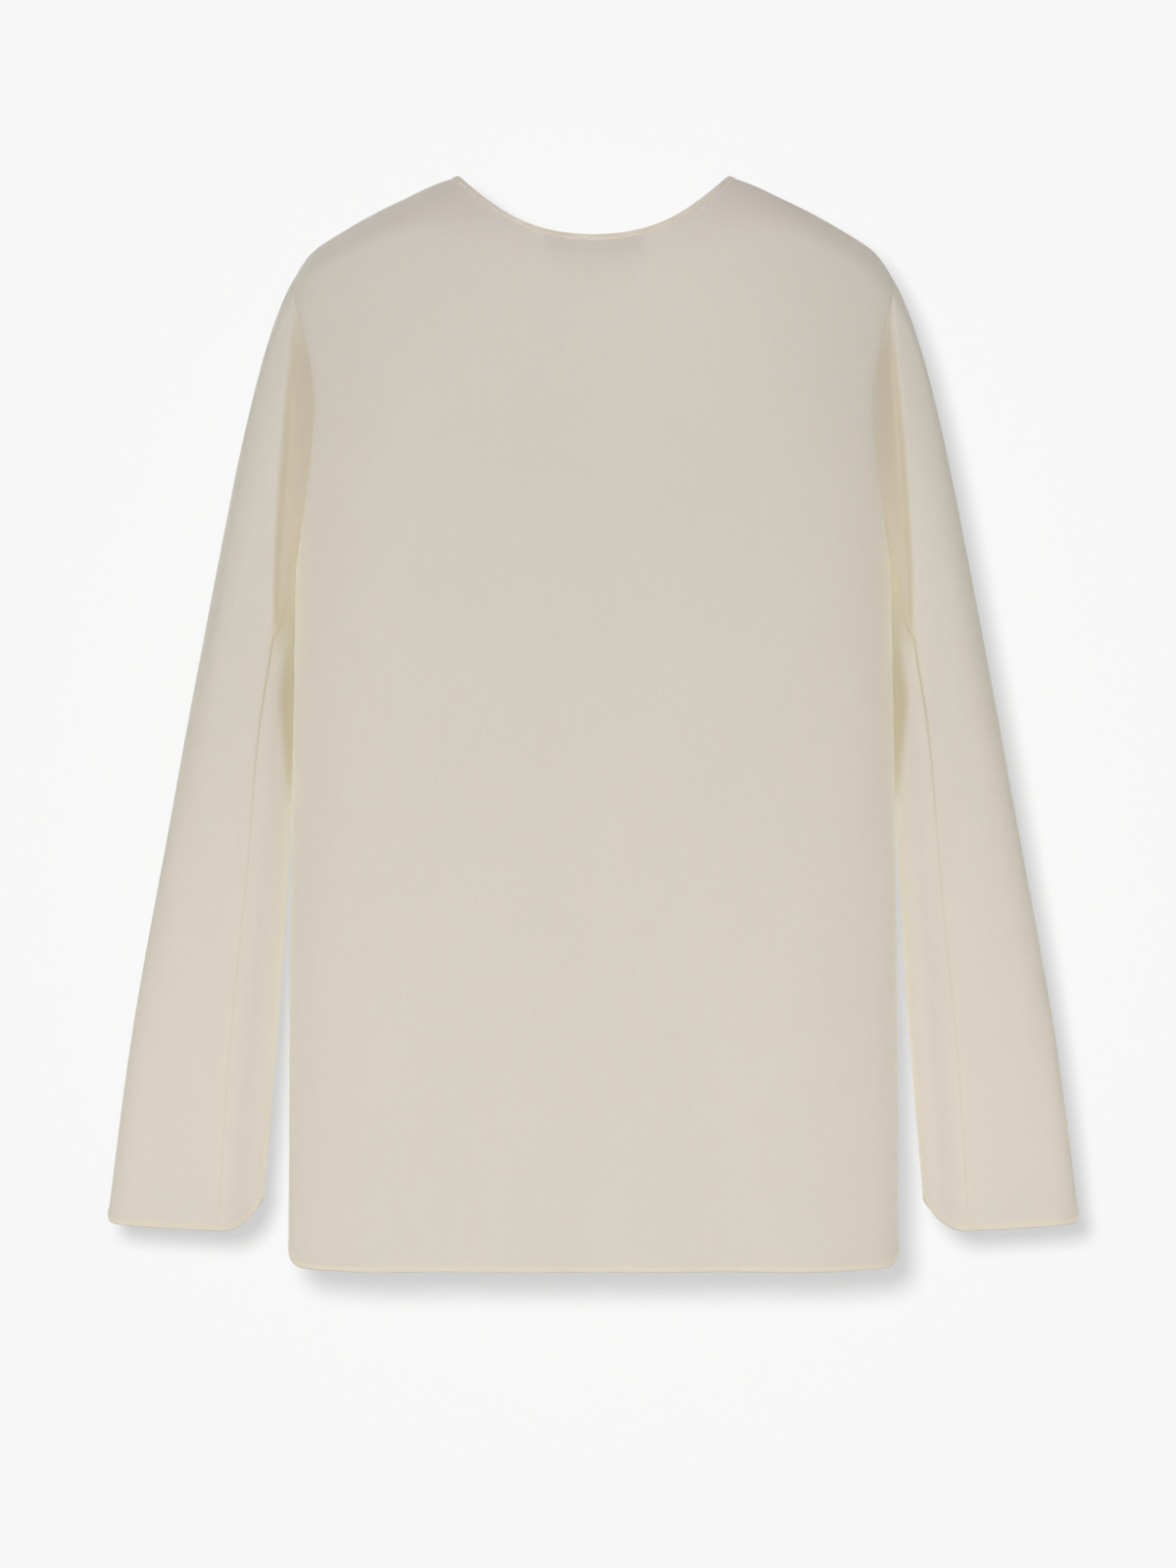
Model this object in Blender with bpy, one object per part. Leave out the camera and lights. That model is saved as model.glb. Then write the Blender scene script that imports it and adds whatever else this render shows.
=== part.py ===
"""A long-sleeved silk blouse with a wide round neck, filled out as if worn, with no wearer.

Frame: metres, +Z up, the wearer faces -Y, +X is the wearer's left. The origin lies midway between the
two side neck points, where the shoulder seams meet the neck edge. Run it with
blender --background --python part.py, or from Blender's text editor.

A panel is a grid of rows. Every row runs from the middle of the panel to its edge, and the edge climbs
the side seam, then the armhole, then the shoulder seam, until the last row is the neck seam. A station
counts how far up that edge a row lies: 0 hem, 1 underarm, 2 shoulder tip, 3 neck.
"""

import math

import bpy
import numpy as np

# Cloth
WALL = 0.0015
SEAM_GAP = 0.0004
HEM_ROLL_WIDTH = 0.0035
HEM_ROLL_RISE = 0.0005

# Body
BACK, FRONT = 1, -1
HEM_Z = -0.704
UNDERARM_Z = -0.269
NECK_SEAM_HALF_WIDTH = 0.0918

# Above the underarm the half width runs on past the armhole, which cuts the body there
BODY = np.array([
    # z      half_width back   square front  square
    (-0.704, 0.1965, 0.0975, 5.0, 0.1050, 4.2),
    (-0.530, 0.1962, 0.0950, 4.4, 0.1035, 3.8),
    (-0.376, 0.1948, 0.0940, 3.8, 0.1070, 3.3),
    (-0.269, 0.1933, 0.0960, 3.5, 0.1100, 3.1),
    (-0.200, 0.1943, 0.0980, 3.2, 0.1090, 2.9),
    (-0.150, 0.1958, 0.0975, 3.1, 0.1060, 2.8),
    (-0.110, 0.2005, 0.0955, 3.1, 0.1030, 2.8),
    (-0.065, 0.2085, 0.0930, 3.1, 0.1000, 2.8),
    (0.000, 0.2150, 0.0900, 3.1, 0.0970, 2.8),
])

# The line over the shoulders, and how far the cloth takes to round over it. From the side neck point
# to the tip it is the shoulder seam
CREST = np.array([
    # x      z       rounding
    (0.0000, 0.0050, 0.080),
    (0.0450, 0.0035, 0.074),
    (0.0900, -0.0020, 0.055),
    (0.1060, -0.0068, 0.043),
    (0.1200, -0.0145, 0.035),
    (0.1400, -0.0243, 0.030),
    (0.1580, -0.0343, 0.028),
    (0.1740, -0.0439, 0.027),
    (0.1865, -0.0545, 0.027),
    (0.1940, -0.0660, 0.027),
])
# The cloth rounds over to this share of its depth, and slopes out to the rest over this drop
SHOULDER_SHARE = 0.60
SLOPE_BEHIND, SLOPE_IN_FRONT = 0.170, 0.225

ARMHOLE = np.array([
    # z       behind  in_front
    (-0.2690, 0.1933, 0.1933),
    (-0.2600, 0.1925, 0.1923),
    (-0.2450, 0.1896, 0.1885),
    (-0.2240, 0.1864, 0.1843),
    (-0.2026, 0.1832, 0.1802),
    (-0.1797, 0.1806, 0.1772),
    (-0.1592, 0.1794, 0.1762),
    (-0.1423, 0.1802, 0.1774),
    (-0.1258, 0.1827, 0.1805),
    (-0.1127, 0.1857, 0.1842),
    (-0.0943, 0.1900, 0.1893),
    (-0.0790, 0.1930, 0.1928),
    (-0.0660, 0.1940, 0.1940),
])

# Height of the middle of each row, and how flat its bow is
ROWS = np.array([
    # station behind  in_front bow_behind bow_in_front
    (0.0, -0.7040, -0.7040, 2.0, 2.0),
    (0.5, -0.4830, -0.4860, 2.0, 2.0),
    (1.0, -0.2640, -0.2750, 2.0, 2.0),
    (1.5, -0.1850, -0.2150, 2.0, 2.1),
    (2.0, -0.1260, -0.1720, 2.0, 2.3),
    (2.5, -0.0870, -0.1400, 2.0, 2.5),
    (3.0, -0.0510, -0.1060, 2.35, 2.6),
])

# Soft folds that grow from their top to the hem
BACK_FOLDS = np.array([
    # x_top   x_hem    z_top   half_width rise
    (0.105, 0.141, -0.330, 0.026, 0.0045),
    (-0.105, -0.136, -0.300, 0.028, 0.0045),
    (0.020, 0.048, -0.420, 0.026, 0.0020),
    (-0.010, -0.040, -0.460, 0.024, 0.0018),
    (0.072, 0.092, -0.400, 0.020, -0.0020),
    (-0.070, -0.086, -0.380, 0.020, -0.0020),
])
FRONT_FOLDS = np.array([
    # x_top   x_hem    z_top   half_width rise
    (0.088, 0.128, -0.300, 0.026, 0.0055),
    (-0.086, -0.122, -0.310, 0.027, 0.0055),
    (0.030, 0.052, -0.360, 0.024, 0.0032),
    (-0.018, -0.030, -0.340, 0.024, 0.0034),
    (0.060, 0.090, -0.330, 0.018, -0.0030),
    (-0.056, -0.078, -0.340, 0.018, -0.0030),
])

# Sleeve sections below the underarm, top first. The lean carries the cloth behind towards the body
SLEEVE = np.array([
    # mid_z   inner_x outer_x mid_y   half_depth tilt square lean
    (-0.300, 0.1962, 0.2512, 0.004, 0.0570, 12.0, 3.0, 0.10),
    (-0.365, 0.1970, 0.2637, 0.003, 0.0525, 11.0, 3.3, 0.13),
    (-0.442, 0.2002, 0.2783, -0.001, 0.0465, 10.0, 3.5, 0.16),
    (-0.557, 0.2078, 0.3004, -0.009, 0.0395, 7.0, 3.5, 0.20),
    (-0.686, 0.2190, 0.3190, -0.019, 0.0340, 3.0, 3.5, 0.22),
])

# How the cloth of the sleeve leaves the armhole seam at its top, behind and in front, and underneath
CAP_LEAVES_TOP = (0.54, 0.0, -0.84)
CAP_LEAVES_SIDE = (0.86, -0.20, -0.46)
CAP_LEAVES_UNDER = (0.35, 0.0, -0.94)
CAP_ARRIVES = (0.19, 0.0, -0.98)
CAP_REACH_START, CAP_REACH_END = 0.17, 0.38

# The fold along the armhole seam: the line of its lip, and how deep the cloth lies beside it
LIP = np.array([
    # z       lip_x   depth
    (-0.335, 0.2050, 0.0000),
    (-0.303, 0.2050, 0.0040),
    (-0.272, 0.2048, 0.0090),
    (-0.247, 0.2041, 0.0115),
    (-0.222, 0.2029, 0.0125),
    (-0.190, 0.2012, 0.0125),
    (-0.146, 0.1979, 0.0100),
    (-0.107, 0.1940, 0.0050),
    (-0.078, 0.1940, 0.0000),
])
LIP_SHARE_IN_FRONT = 0.6
LIP_RISE_SHARE = 0.3

# Neck binding and label
BINDING_HALF_WIDTH = 0.0016
BINDING_HALF_THICKNESS = 0.0013
BINDING_SIDES = 8
LABEL_HALF_WIDTH = 0.031
LABEL_STATIONS = (2.94, 2.62)
LABEL_THICKNESS = 0.0010

# How finely the solids are divided
HALF_COLUMNS = 14
SIDE_ROWS, ARMHOLE_ROWS, SHOULDER_ROWS = 8, 10, 6
SLEEVE_POINTS = 4 * ARMHOLE_ROWS
CAP_RINGS, TUBE_RINGS = 9, 9
LABEL_COLUMNS, LABEL_ROWS = 8, 4
NORMAL_ROUNDS = 4
EDGE_CROWDING = 0.13
FINE = 401

SILK = ("silk", (0.672, 0.615, 0.539, 1.0), 0.55)
SILK_BINDING = ("silk_binding", (0.690, 0.625, 0.530, 1.0), 0.50)
LABEL_TAPE = ("label_tape", (0.560, 0.520, 0.470, 1.0), 0.70)


def curve_through(table, column, at):
    """Natural cubic curve through a column of a table whose first column rises, read at the given places."""
    keys, values = table[:, 0], table[:, column]
    count, step = len(keys), np.diff(keys)
    rise = np.diff(values) / step
    system, right = np.eye(count), np.zeros(count)
    for i in range(1, count - 1):
        system[i, i - 1 : i + 2] = step[i - 1], 2 * (step[i - 1] + step[i]), step[i]
        right[i] = 6 * (rise[i] - rise[i - 1])
    bend = np.linalg.solve(system, right)
    at = np.clip(at, keys[0], keys[-1])
    span = np.clip(np.searchsorted(keys, at, side="right") - 1, 0, count - 2)
    ahead, behind, width = keys[span + 1] - at, at - keys[span], step[span]
    return (
        (bend[span] * ahead**3 + bend[span + 1] * behind**3) / (6 * width)
        + (values[span] / width - bend[span] * width / 6) * ahead
        + (values[span + 1] / width - bend[span + 1] * width / 6) * behind
    )


def smooth_step(value):
    """0 below 0, 1 above 1, with a smooth climb between."""
    clipped = np.clip(value, 0.0, 1.0)
    return clipped * clipped * (3 - 2 * clipped)


def unit(vectors):
    return vectors / np.linalg.norm(vectors, axis=-1, keepdims=True)


def square_off(vectors, along):
    """What is left of each vector when the part that lies along another is taken out, made one long."""
    along = unit(along)
    return unit(vectors - along * np.sum(vectors * along, axis=-1, keepdims=True))


def fold_rise(folds, x, z):
    """How far the soft folds lift the cloth at a place: each is a rounded ridge that grows to the hem."""
    total = np.zeros_like(x)
    for x_top, x_hem, z_top, half_width, rise in folds:
        down = (z_top - z) / (z_top - HEM_Z)
        line = x_top + (x_hem - x_top) * np.clip(down, 0, 1)
        total += rise * smooth_step(down) * np.exp(-(((x - line) / half_width) ** 2))
    return total


def body_depth(side, x, z):
    """How far a panel lies from the plane of the side seams. Its level section is a superellipse. Below
    the shoulder line that grows from nothing through a quarter of an ellipse, and then down a slope."""
    depth_column, slope = (2, SLOPE_BEHIND) if side == BACK else (4, SLOPE_IN_FRONT)
    out = np.clip(np.abs(x) / curve_through(BODY, 1, z), 0, 1)
    square = curve_through(BODY, depth_column + 1, z)
    level = (1 - out**square) ** (1 / square)
    below = curve_through(CREST, 1, np.abs(x)) - z
    rounding = 1 - np.clip(below / curve_through(CREST, 2, np.abs(x)), 0, 1)
    arch = np.sqrt(1 - rounding**2) * (1 - (1 - SHOULDER_SHARE) * (1 - np.clip(below / slope, 0, 1)) ** 2)
    folds = fold_rise(BACK_FOLDS if side == BACK else FRONT_FOLDS, x, z)
    return (curve_through(BODY, depth_column, z) + folds) * level * arch


def edge_point(side, station):
    """Where a panel's edge on +X lies at a station, as x and z: side seam, armhole, then shoulder seam."""
    station = np.asarray(station, float)
    turn = (np.clip(station - 1, 0, 1) - 0.5) * math.pi
    tip_x, tip_z = CREST[-1, 0], CREST[-1, 1]
    side_z = HEM_Z + (UNDERARM_Z - HEM_Z) * np.clip(station, 0, 1)
    arm_z = (UNDERARM_Z + tip_z) / 2 + (tip_z - UNDERARM_Z) / 2 * np.sin(turn)
    seam_x = tip_x + (NECK_SEAM_HALF_WIDTH - tip_x) * np.clip(station - 2, 0, 1)
    x = np.where(station <= 1, curve_through(BODY, 1, side_z),
                 np.where(station <= 2, curve_through(ARMHOLE, 1 if side == BACK else 2, arm_z), seam_x))
    z = np.where(station <= 1, side_z, np.where(station <= 2, arm_z, curve_through(CREST, 1, seam_x)))
    return x, z


def body_point(side, station, across):
    """Outer surface of a panel. across runs from -1 at the right edge, through 0 at the middle, to 1."""
    edge_x, edge_z = edge_point(side, station)
    middle, bow = (curve_through(ROWS, column + (side == FRONT), station) for column in (1, 3))
    x = edge_x * across
    z = edge_z + (middle - edge_z) * (1 - np.abs(across) ** bow)
    return np.stack([x, side * body_depth(side, x, z), z], axis=-1)


def evenly(line, shares):
    """Points at the given shares of the length of a line of close points."""
    length = np.concatenate([[0], np.cumsum(np.linalg.norm(np.diff(line, axis=0), axis=1))])
    return np.stack([np.interp(shares * length[-1], length, line[:, axis]) for axis in range(3)], axis=-1)


def panel_stations():
    """Stations of a panel's rows: three for the rolled hem, then even steps up each stretch of edge."""
    hem = HEM_ROLL_WIDTH / (UNDERARM_Z - HEM_Z)
    side = np.linspace(3 * hem, 1, SIDE_ROWS)
    arm = np.linspace(1, 2, ARMHOLE_ROWS + 1)[1:]
    shoulder = np.linspace(2, 3, SHOULDER_ROWS + 1)[1:]
    return np.concatenate([[0, 0.8 * hem, 1.2 * hem], side, arm, shoulder])


def armhole_rows():
    """Which of a panel's rows end on the armhole seam, from the underarm to the shoulder tip."""
    return slice(len(panel_stations()) - SHOULDER_ROWS - ARMHOLE_ROWS - 1, -SHOULDER_ROWS)


def panel_surface(side):
    """Outer points and normals of the front or the back, from the hem up to the neck seam. Columns lie
    closer together near the edges, where the cloth turns. Rows are laid out on the +X half and mirrored,
    and then each half takes the depth of its own folds."""
    out = 1 - (1 - np.linspace(0, 1, FINE)) ** 4
    shares = np.linspace(0, 1, HALF_COLUMNS + 1)
    shares = shares + EDGE_CROWDING * np.sin(math.pi * shares)
    rows = []
    for station in panel_stations():
        half = evenly(body_point(side, np.full(FINE, station), out), shares)
        rows.append(np.concatenate([half[::-1] * (-1, 1, 1), half[1:]]))
    grid = np.stack(rows)
    grid[:, 1:-1, 1] = side * body_depth(side, grid[:, 1:-1, 0], grid[:, 1:-1, 2])
    spine = np.zeros_like(grid)
    spine[..., 2] = grid[..., 2] - 0.05
    normals = outward_normals(grid, False, spine)
    joined = np.ones(len(grid), bool)
    joined[armhole_rows()][1:-1] = False
    for column, beside in ((0, 1), (-1, -2)):
        normals[joined, column, 1] = 0.0
        inward = square_off(grid[:, beside] - grid[:, column], np.gradient(grid[:, column], axis=0))
        grid[joined, column] += inward[joined] * SEAM_GAP / 2
    return grid, unit(normals)


def outward_normals(grid, closed_around, away_from):
    """Unit normals of a grid of points, turned to point away from the given inner points."""
    along = np.gradient(grid, axis=0)
    if closed_around:
        across = (np.roll(grid, -1, axis=1) - np.roll(grid, 1, axis=1)) / 2
    else:
        across = np.gradient(grid, axis=1)
    normals = unit(np.cross(across, along))
    outward = np.sum(normals * (grid - away_from), axis=-1, keepdims=True)
    return np.where(outward < 0, -normals, normals)


def armhole_ring():
    """The armhole seam on +X, from the shoulder tip down behind, under the arm and up in front. Every
    row of a panel gives it a point, and one more lies halfway to the next."""
    lines = []
    for side in (BACK, FRONT):
        line = body_point(side, np.linspace(2, 1, ARMHOLE_ROWS + 1), 1.0)
        halfway = (line[1:] + line[:-1]) / 2
        lines.append(np.concatenate([np.stack([line[:-1], halfway], axis=1).reshape(-1, 3), line[-1:]]))
    back, front = lines
    return np.concatenate([back, front[::-1][1:-1]])


def sleeve_ring(height, turn):
    """A section of the sleeve. turn is 0 outside, a quarter turn behind, and half a turn under the arm."""
    rising = SLEEVE[::-1]
    inner_x, outer_x, mid_y, half_depth, tilt, square, lean = (
        curve_through(rising, column, height) for column in range(1, 8)
    )
    tilt = math.radians(tilt)
    half_width = (outer_x - inner_x) / 2 / math.cos(tilt)
    cosine, sine = np.cos(turn), np.sin(turn)
    reach = (np.abs(cosine) ** square + np.abs(sine) ** square) ** (-1 / square)
    out = half_width * (reach * cosine - lean * np.clip(sine, 0, 1) ** 2)
    back = half_depth * reach * sine
    x = (inner_x + outer_x) / 2 + out * math.cos(tilt)
    return np.stack([x, mid_y + back, height + out * math.sin(tilt)], axis=-1)


def cap_lines(start, end, turn, shares):
    """Rings from the armhole seam to the first section below it, along one curve for each place round."""
    up, under = np.clip(np.cos(turn), 0, 1)[:, None] ** 1.5, np.clip(-np.cos(turn), 0, 1)[:, None] ** 1.5
    beside = np.array(CAP_LEAVES_SIDE) * np.stack([np.ones_like(turn), np.sign(np.sin(turn) + 1e-9),
                                                   np.ones_like(turn)], axis=-1)
    leaves = up * np.array(CAP_LEAVES_TOP) + under * np.array(CAP_LEAVES_UNDER) + (1 - up - under) * beside
    span = np.linalg.norm(end - start, axis=1, keepdims=True)
    first = start + unit(leaves) * CAP_REACH_START * span
    last = end - unit(np.array(CAP_ARRIVES)) * CAP_REACH_END * span
    rings = []
    for share in shares:
        rest = 1 - share
        near_start = rest**3 * start + 3 * rest**2 * share * first
        rings.append(near_start + 3 * rest * share**2 * last + share**3 * end)
    return rings


def press_fold(grid):
    """Sinks the cloth between the lip of the fold and the armhole seam, deepest beside the lip."""
    x, y, z = np.moveaxis(grid, -1, 0)
    lip_x, seam_x = curve_through(LIP, 1, z), curve_through(ARMHOLE, 1, z)
    inward = (lip_x - x) / np.maximum(lip_x - seam_x, 0.004)
    depth = np.where((z > LIP[0, 0]) & (z < LIP[-1, 0]), curve_through(LIP, 2, z), 0.0)
    sink = depth * smooth_step(inward / LIP_RISE_SHARE) * (1 - np.clip(inward, 0, 1))
    sink *= smooth_step(np.abs(y) / 0.030) * np.where(y > 0, 1.0, LIP_SHARE_IN_FRONT)
    pressed = grid.copy()
    pressed[..., 1] = y - np.sign(y) * sink
    return pressed


def sleeve_surface():
    """Outer points and normals of the +X sleeve, ring by ring from the armhole seam to the cuff."""
    turn = np.linspace(0, 2 * math.pi, SLEEVE_POINTS, endpoint=False)
    top, cuff = SLEEVE[0, 0], SLEEVE[-1, 0]
    heights = np.linspace(top, cuff + 3 * HEM_ROLL_WIDTH, TUBE_RINGS)
    heights = np.concatenate([heights, cuff + HEM_ROLL_WIDTH * np.array([1.2, 0.8, 0.0])])
    tube = [sleeve_ring(height, turn) for height in heights]
    seam = armhole_ring()
    cap = cap_lines(seam, tube[0], turn, np.linspace(0, 1, CAP_RINGS + 1)[:-1])
    grid = press_fold(np.stack(cap + tube))
    grid[0] = seam
    return grid, outward_normals(grid, True, grid.mean(axis=1, keepdims=True))


def armhole_places():
    """Which points of the armhole ring lie on the rows of the back, and which on those of the front."""
    half = 2 * ARMHOLE_ROWS
    return np.arange(half, -1, -2), np.arange(half, 2 * half + 1, 2) % (2 * half)


def open_armhole_seam(panels, sleeve, sleeve_normals):
    """Parts the panels from the sleeve along the armhole, and gives both rims the normals halfway between
    their own, so that they are parallel. panels holds the back and then the front."""
    rows = armhole_rows()
    along = np.roll(sleeve[0], -1, axis=0) - np.roll(sleeve[0], 1, axis=0)
    into_sleeve = square_off(sleeve[1] - sleeve[0], along)
    lifts, partings = np.zeros_like(along), np.zeros_like(along)
    for (grid, normals), places in zip(panels, armhole_places()):
        edge = grid[rows, -1]
        into_panel = square_off(grid[rows, -2] - edge, np.gradient(edge, axis=0))
        parting = unit(into_panel - into_sleeve[places])
        lifts[places] += normals[rows, -1]
        partings[places] += parting
        grid[rows, -1] += parting * SEAM_GAP / 2
        grid[rows, 0] = grid[rows, -1] * (-1, 1, 1)
    for values in (lifts, partings):
        values[::2] = unit(values[::2])
        values[1::2] = values[::2] + np.roll(values[::2], -1, axis=0)
    sleeve[0] -= unit(partings) * SEAM_GAP / 2
    shared = unit(unit(lifts) + sleeve_normals[0])
    for _ in range(NORMAL_ROUNDS):
        shared = unit(np.roll(shared, 1, axis=0) + 2 * shared + np.roll(shared, -1, axis=0))
    sleeve_normals[0] = shared
    for (_, normals), places in zip(panels, armhole_places()):
        normals[rows, -1] = shared[places]
        normals[rows, 0] = normals[rows, -1] * (-1, 1, 1)


def rolled_hem(distance):
    """How far the doubled cloth of a narrow hem stands out, by distance from the hem's edge."""
    return HEM_ROLL_RISE * (1 - smooth_step((distance - 0.6 * HEM_ROLL_WIDTH) / (0.8 * HEM_ROLL_WIDTH)))


def cloth_material(name, colour, roughness):
    material = bpy.data.materials.new(name)
    material.use_nodes = True
    shader = material.node_tree.nodes["Principled BSDF"]
    shader.inputs["Base Color"].default_value = colour
    shader.inputs["Roughness"].default_value = roughness
    shader.inputs["Metallic"].default_value = 0.0
    material.diffuse_color = colour
    return material


def signed_volume(points, faces):
    """Volume of a closed quad mesh, below 0 where its faces point inwards."""
    a, b, c, d = (points[faces[:, i]] for i in range(4))
    return float(np.sum(a * np.cross(b, c)) + np.sum(a * np.cross(c, d))) / 6


def add_object(name, points, faces, material):
    mesh = bpy.data.meshes.new(name)
    mesh.from_pydata(points.tolist(), [], faces.tolist())
    if signed_volume(points, faces) < 0:
        mesh.flip_normals()
    mesh.shade_smooth()
    mesh.set_sharp_from_angle(angle=math.radians(40))
    mesh.materials.append(material)
    made = bpy.data.objects.new(name, mesh)
    bpy.context.scene.collection.objects.link(made)
    return made


def add_wall(name, outer, inner, closed_around, material):
    """A closed wall of cloth between two grids of points, with its rims filled, as a new object."""
    rows, columns = outer.shape[:2]
    skin = rows * columns
    index = np.arange(skin).reshape(rows, columns)
    if closed_around:
        index = np.concatenate([index, index[:, :1]], axis=1)
    low_left, low_right = index[:-1, :-1].ravel(), index[:-1, 1:].ravel()
    top_left, top_right = index[1:, :-1].ravel(), index[1:, 1:].ravel()
    faces = [np.stack([low_left, low_right, top_right, top_left], axis=1)]
    faces.append(np.stack([top_left, top_right, low_right, low_left], axis=1) + skin)
    rims = [(index[0, 1:], index[0, :-1]), (index[-1, :-1], index[-1, 1:])]
    if not closed_around:
        rims += [(index[:-1, 0], index[1:, 0]), (index[1:, -1], index[:-1, -1])]
    for first, second in rims:
        faces.append(np.stack([first, second, second + skin, first + skin], axis=1))
    points = np.concatenate([outer.reshape(-1, 3), inner.reshape(-1, 3)])
    return add_object(name, points, np.concatenate(faces), material)


def build_panel(name, grid, normals, material):
    """The front or the back, cut in one piece from the hem to the neck seam."""
    on_hem = (panel_stations() < 0.2)[:, None, None]
    outer = grid + normals * rolled_hem((grid[..., 2] - HEM_Z)[..., None]) * on_hem
    return add_wall(name, outer, grid - normals * WALL, False, material)


def build_sleeve(name, hand, grid, normals, material):
    """A sleeve in one piece, sewn into a tube. hand is 1 on +X and -1 on -X."""
    from_cuff = np.linalg.norm(grid.mean(axis=1) - grid[-1].mean(axis=0), axis=1)[:, None, None]
    mirror = np.array([hand, 1, 1])
    outer = (grid + normals * rolled_hem(from_cuff)) * mirror
    return add_wall(name, outer, (grid - normals * WALL) * mirror, True, material)


def build_binding(name, panels, material):
    """The rolled strip round the neck: one bead that follows both panels' neck seams."""
    back, front = [(grid[-1], unit(grid[-1] - grid[-2]), normals[-1]) for grid, normals in panels]
    seam, climb, lift = (
        np.concatenate([behind, before[::-1][1:-1]]) for behind, before in zip(back, front)
    )
    middle = seam + climb * (BINDING_HALF_WIDTH + SEAM_GAP) - lift * WALL / 2
    turn = np.linspace(0, 2 * math.pi, BINDING_SIDES, endpoint=False)[:, None, None]
    rings = middle + climb * BINDING_HALF_WIDTH * np.cos(turn) + lift * BINDING_HALF_THICKNESS * np.sin(turn)
    index = np.arange(rings[..., 0].size).reshape(rings.shape[:2])
    beside, ahead = np.roll(index, -1, axis=0), np.roll(index, -1, axis=1)
    faces = np.stack([index, beside, np.roll(beside, -1, axis=1), ahead], axis=-1).reshape(-1, 4)
    return add_object(name, rings.reshape(-1, 3), faces, material)


def build_label(name, material):
    """A blank label that hangs inside the back neck, on the back panel's inner face."""
    place = np.linspace(-LABEL_HALF_WIDTH, LABEL_HALF_WIDTH, LABEL_COLUMNS + 1)
    grid = np.stack([
        body_point(BACK, np.full_like(place, station), place / edge_point(BACK, station)[0])
        for station in np.linspace(*LABEL_STATIONS, LABEL_ROWS + 1)
    ])
    spine = np.zeros_like(grid)
    spine[..., 2] = grid[..., 2] - 0.05
    normals = outward_normals(grid, False, spine)
    near = grid - normals * (WALL + 2 * SEAM_GAP)
    return add_wall(name, near, near - normals * LABEL_THICKNESS, False, material)


def main():
    for old in list(bpy.data.objects):
        bpy.data.objects.remove(old)
    silk = cloth_material(*SILK)
    panels = panel_surface(BACK), panel_surface(FRONT)
    sleeve, sleeve_normals = sleeve_surface()
    open_armhole_seam(panels, sleeve, sleeve_normals)
    for name, (grid, normals) in zip(("back_panel", "front_panel"), panels):
        build_panel(name, grid, normals, silk)
    for name, hand in (("left_sleeve", 1), ("right_sleeve", -1)):
        build_sleeve(name, hand, sleeve, sleeve_normals, silk)
    build_binding("neck_binding", panels, cloth_material(*SILK_BINDING))
    build_label("neck_label", cloth_material(*LABEL_TAPE))


main()
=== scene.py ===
import math

import bpy
import numpy as np
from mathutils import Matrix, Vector


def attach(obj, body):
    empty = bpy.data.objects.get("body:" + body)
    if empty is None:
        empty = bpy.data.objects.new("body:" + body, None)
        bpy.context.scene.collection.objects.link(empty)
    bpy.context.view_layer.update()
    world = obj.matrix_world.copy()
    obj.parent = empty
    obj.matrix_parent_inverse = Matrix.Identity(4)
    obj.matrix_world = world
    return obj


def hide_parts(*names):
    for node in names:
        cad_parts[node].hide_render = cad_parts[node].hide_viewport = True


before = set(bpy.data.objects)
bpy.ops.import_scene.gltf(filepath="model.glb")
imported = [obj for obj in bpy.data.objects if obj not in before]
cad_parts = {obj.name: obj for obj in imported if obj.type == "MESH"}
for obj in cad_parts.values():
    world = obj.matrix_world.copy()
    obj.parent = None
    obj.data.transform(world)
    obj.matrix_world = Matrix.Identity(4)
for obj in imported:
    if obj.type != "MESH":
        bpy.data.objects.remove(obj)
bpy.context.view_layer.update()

print("scene: frame loaded")

# The blouse faces -Y, and its left side is on +X. Lengths are metres and turns are radians, except
# where a name says otherwise.

behind, inFront = 1, -1

cloth = {
    "thickness": 0.00045,
    "seamGap": 0.00005,        # how far each piece keeps from the seam line
    "allowance": 0.0042,       # cloth turned in along a seam
    "allowanceRows": (0.35, 1.0),             # where its rows lie, in shares of it
    "seamHold": 0.006,         # how far from a seam the cloth takes the seam's own normal
    "grooveShadeReach": 0.0008,      # how far from a seam the painted shade of its groove reaches
    "hemWidth": 0.0046,        # narrow rolled hem
    "hemRise": 0.00034, "dent": 0.00008,
    "hemFold": 0.0013,         # how far in the turned up cloth lies
    "hemSpread": (0.0045, 0.0013, 0.0007),    # how far beyond the edge its rows lie on the UV map
    "hemRows": 8, "hemRowStep": 0.0006,       # close rows over the roll
}
# tones painted on the cloth: doubled cloth, and two kinds of painted shade
toneKinds = ("layers", "occlusion", "shaded")


# Natural cubic curve through one column of a table whose first column rises, read at any places
def curveThrough(table, column, at):
    keys, values = table[:, 0], table[:, column]
    count, step = len(keys), np.diff(keys)
    rise = np.diff(values) / step
    inner = np.arange(1, count - 1)
    system, right = np.eye(count), np.zeros(count)
    system[inner, inner - 1], system[inner, inner + 1] = step[:-1], step[1:]
    system[inner, inner] = 2 * (step[:-1] + step[1:])
    right[1:-1] = 6 * np.diff(rise)
    bend = np.linalg.solve(system, right)
    at = np.clip(at, keys[0], keys[-1])
    span = np.clip(np.searchsorted(keys, at, side="right") - 1, 0, count - 2)
    ahead, past, width = keys[span + 1] - at, at - keys[span], step[span]
    bowed = (bend[span] * ahead**3 + bend[span + 1] * past**3) / (6 * width)
    lower = (values[span] / width - bend[span] * width / 6) * ahead
    return bowed + lower + (values[span + 1] / width - bend[span + 1] * width / 6) * past


# 0 below 0, 1 above 1, and 3v^2 - 2v^3 between
def smoothStep(value):
    clipped = np.clip(value, 0.0, 1.0)
    return clipped * clipped * (3 - 2 * clipped)


# A bell: 1 at the centre, e^-1 one width away
def bell(distance, width):
    return np.exp(-((distance / width) ** 2))


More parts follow.
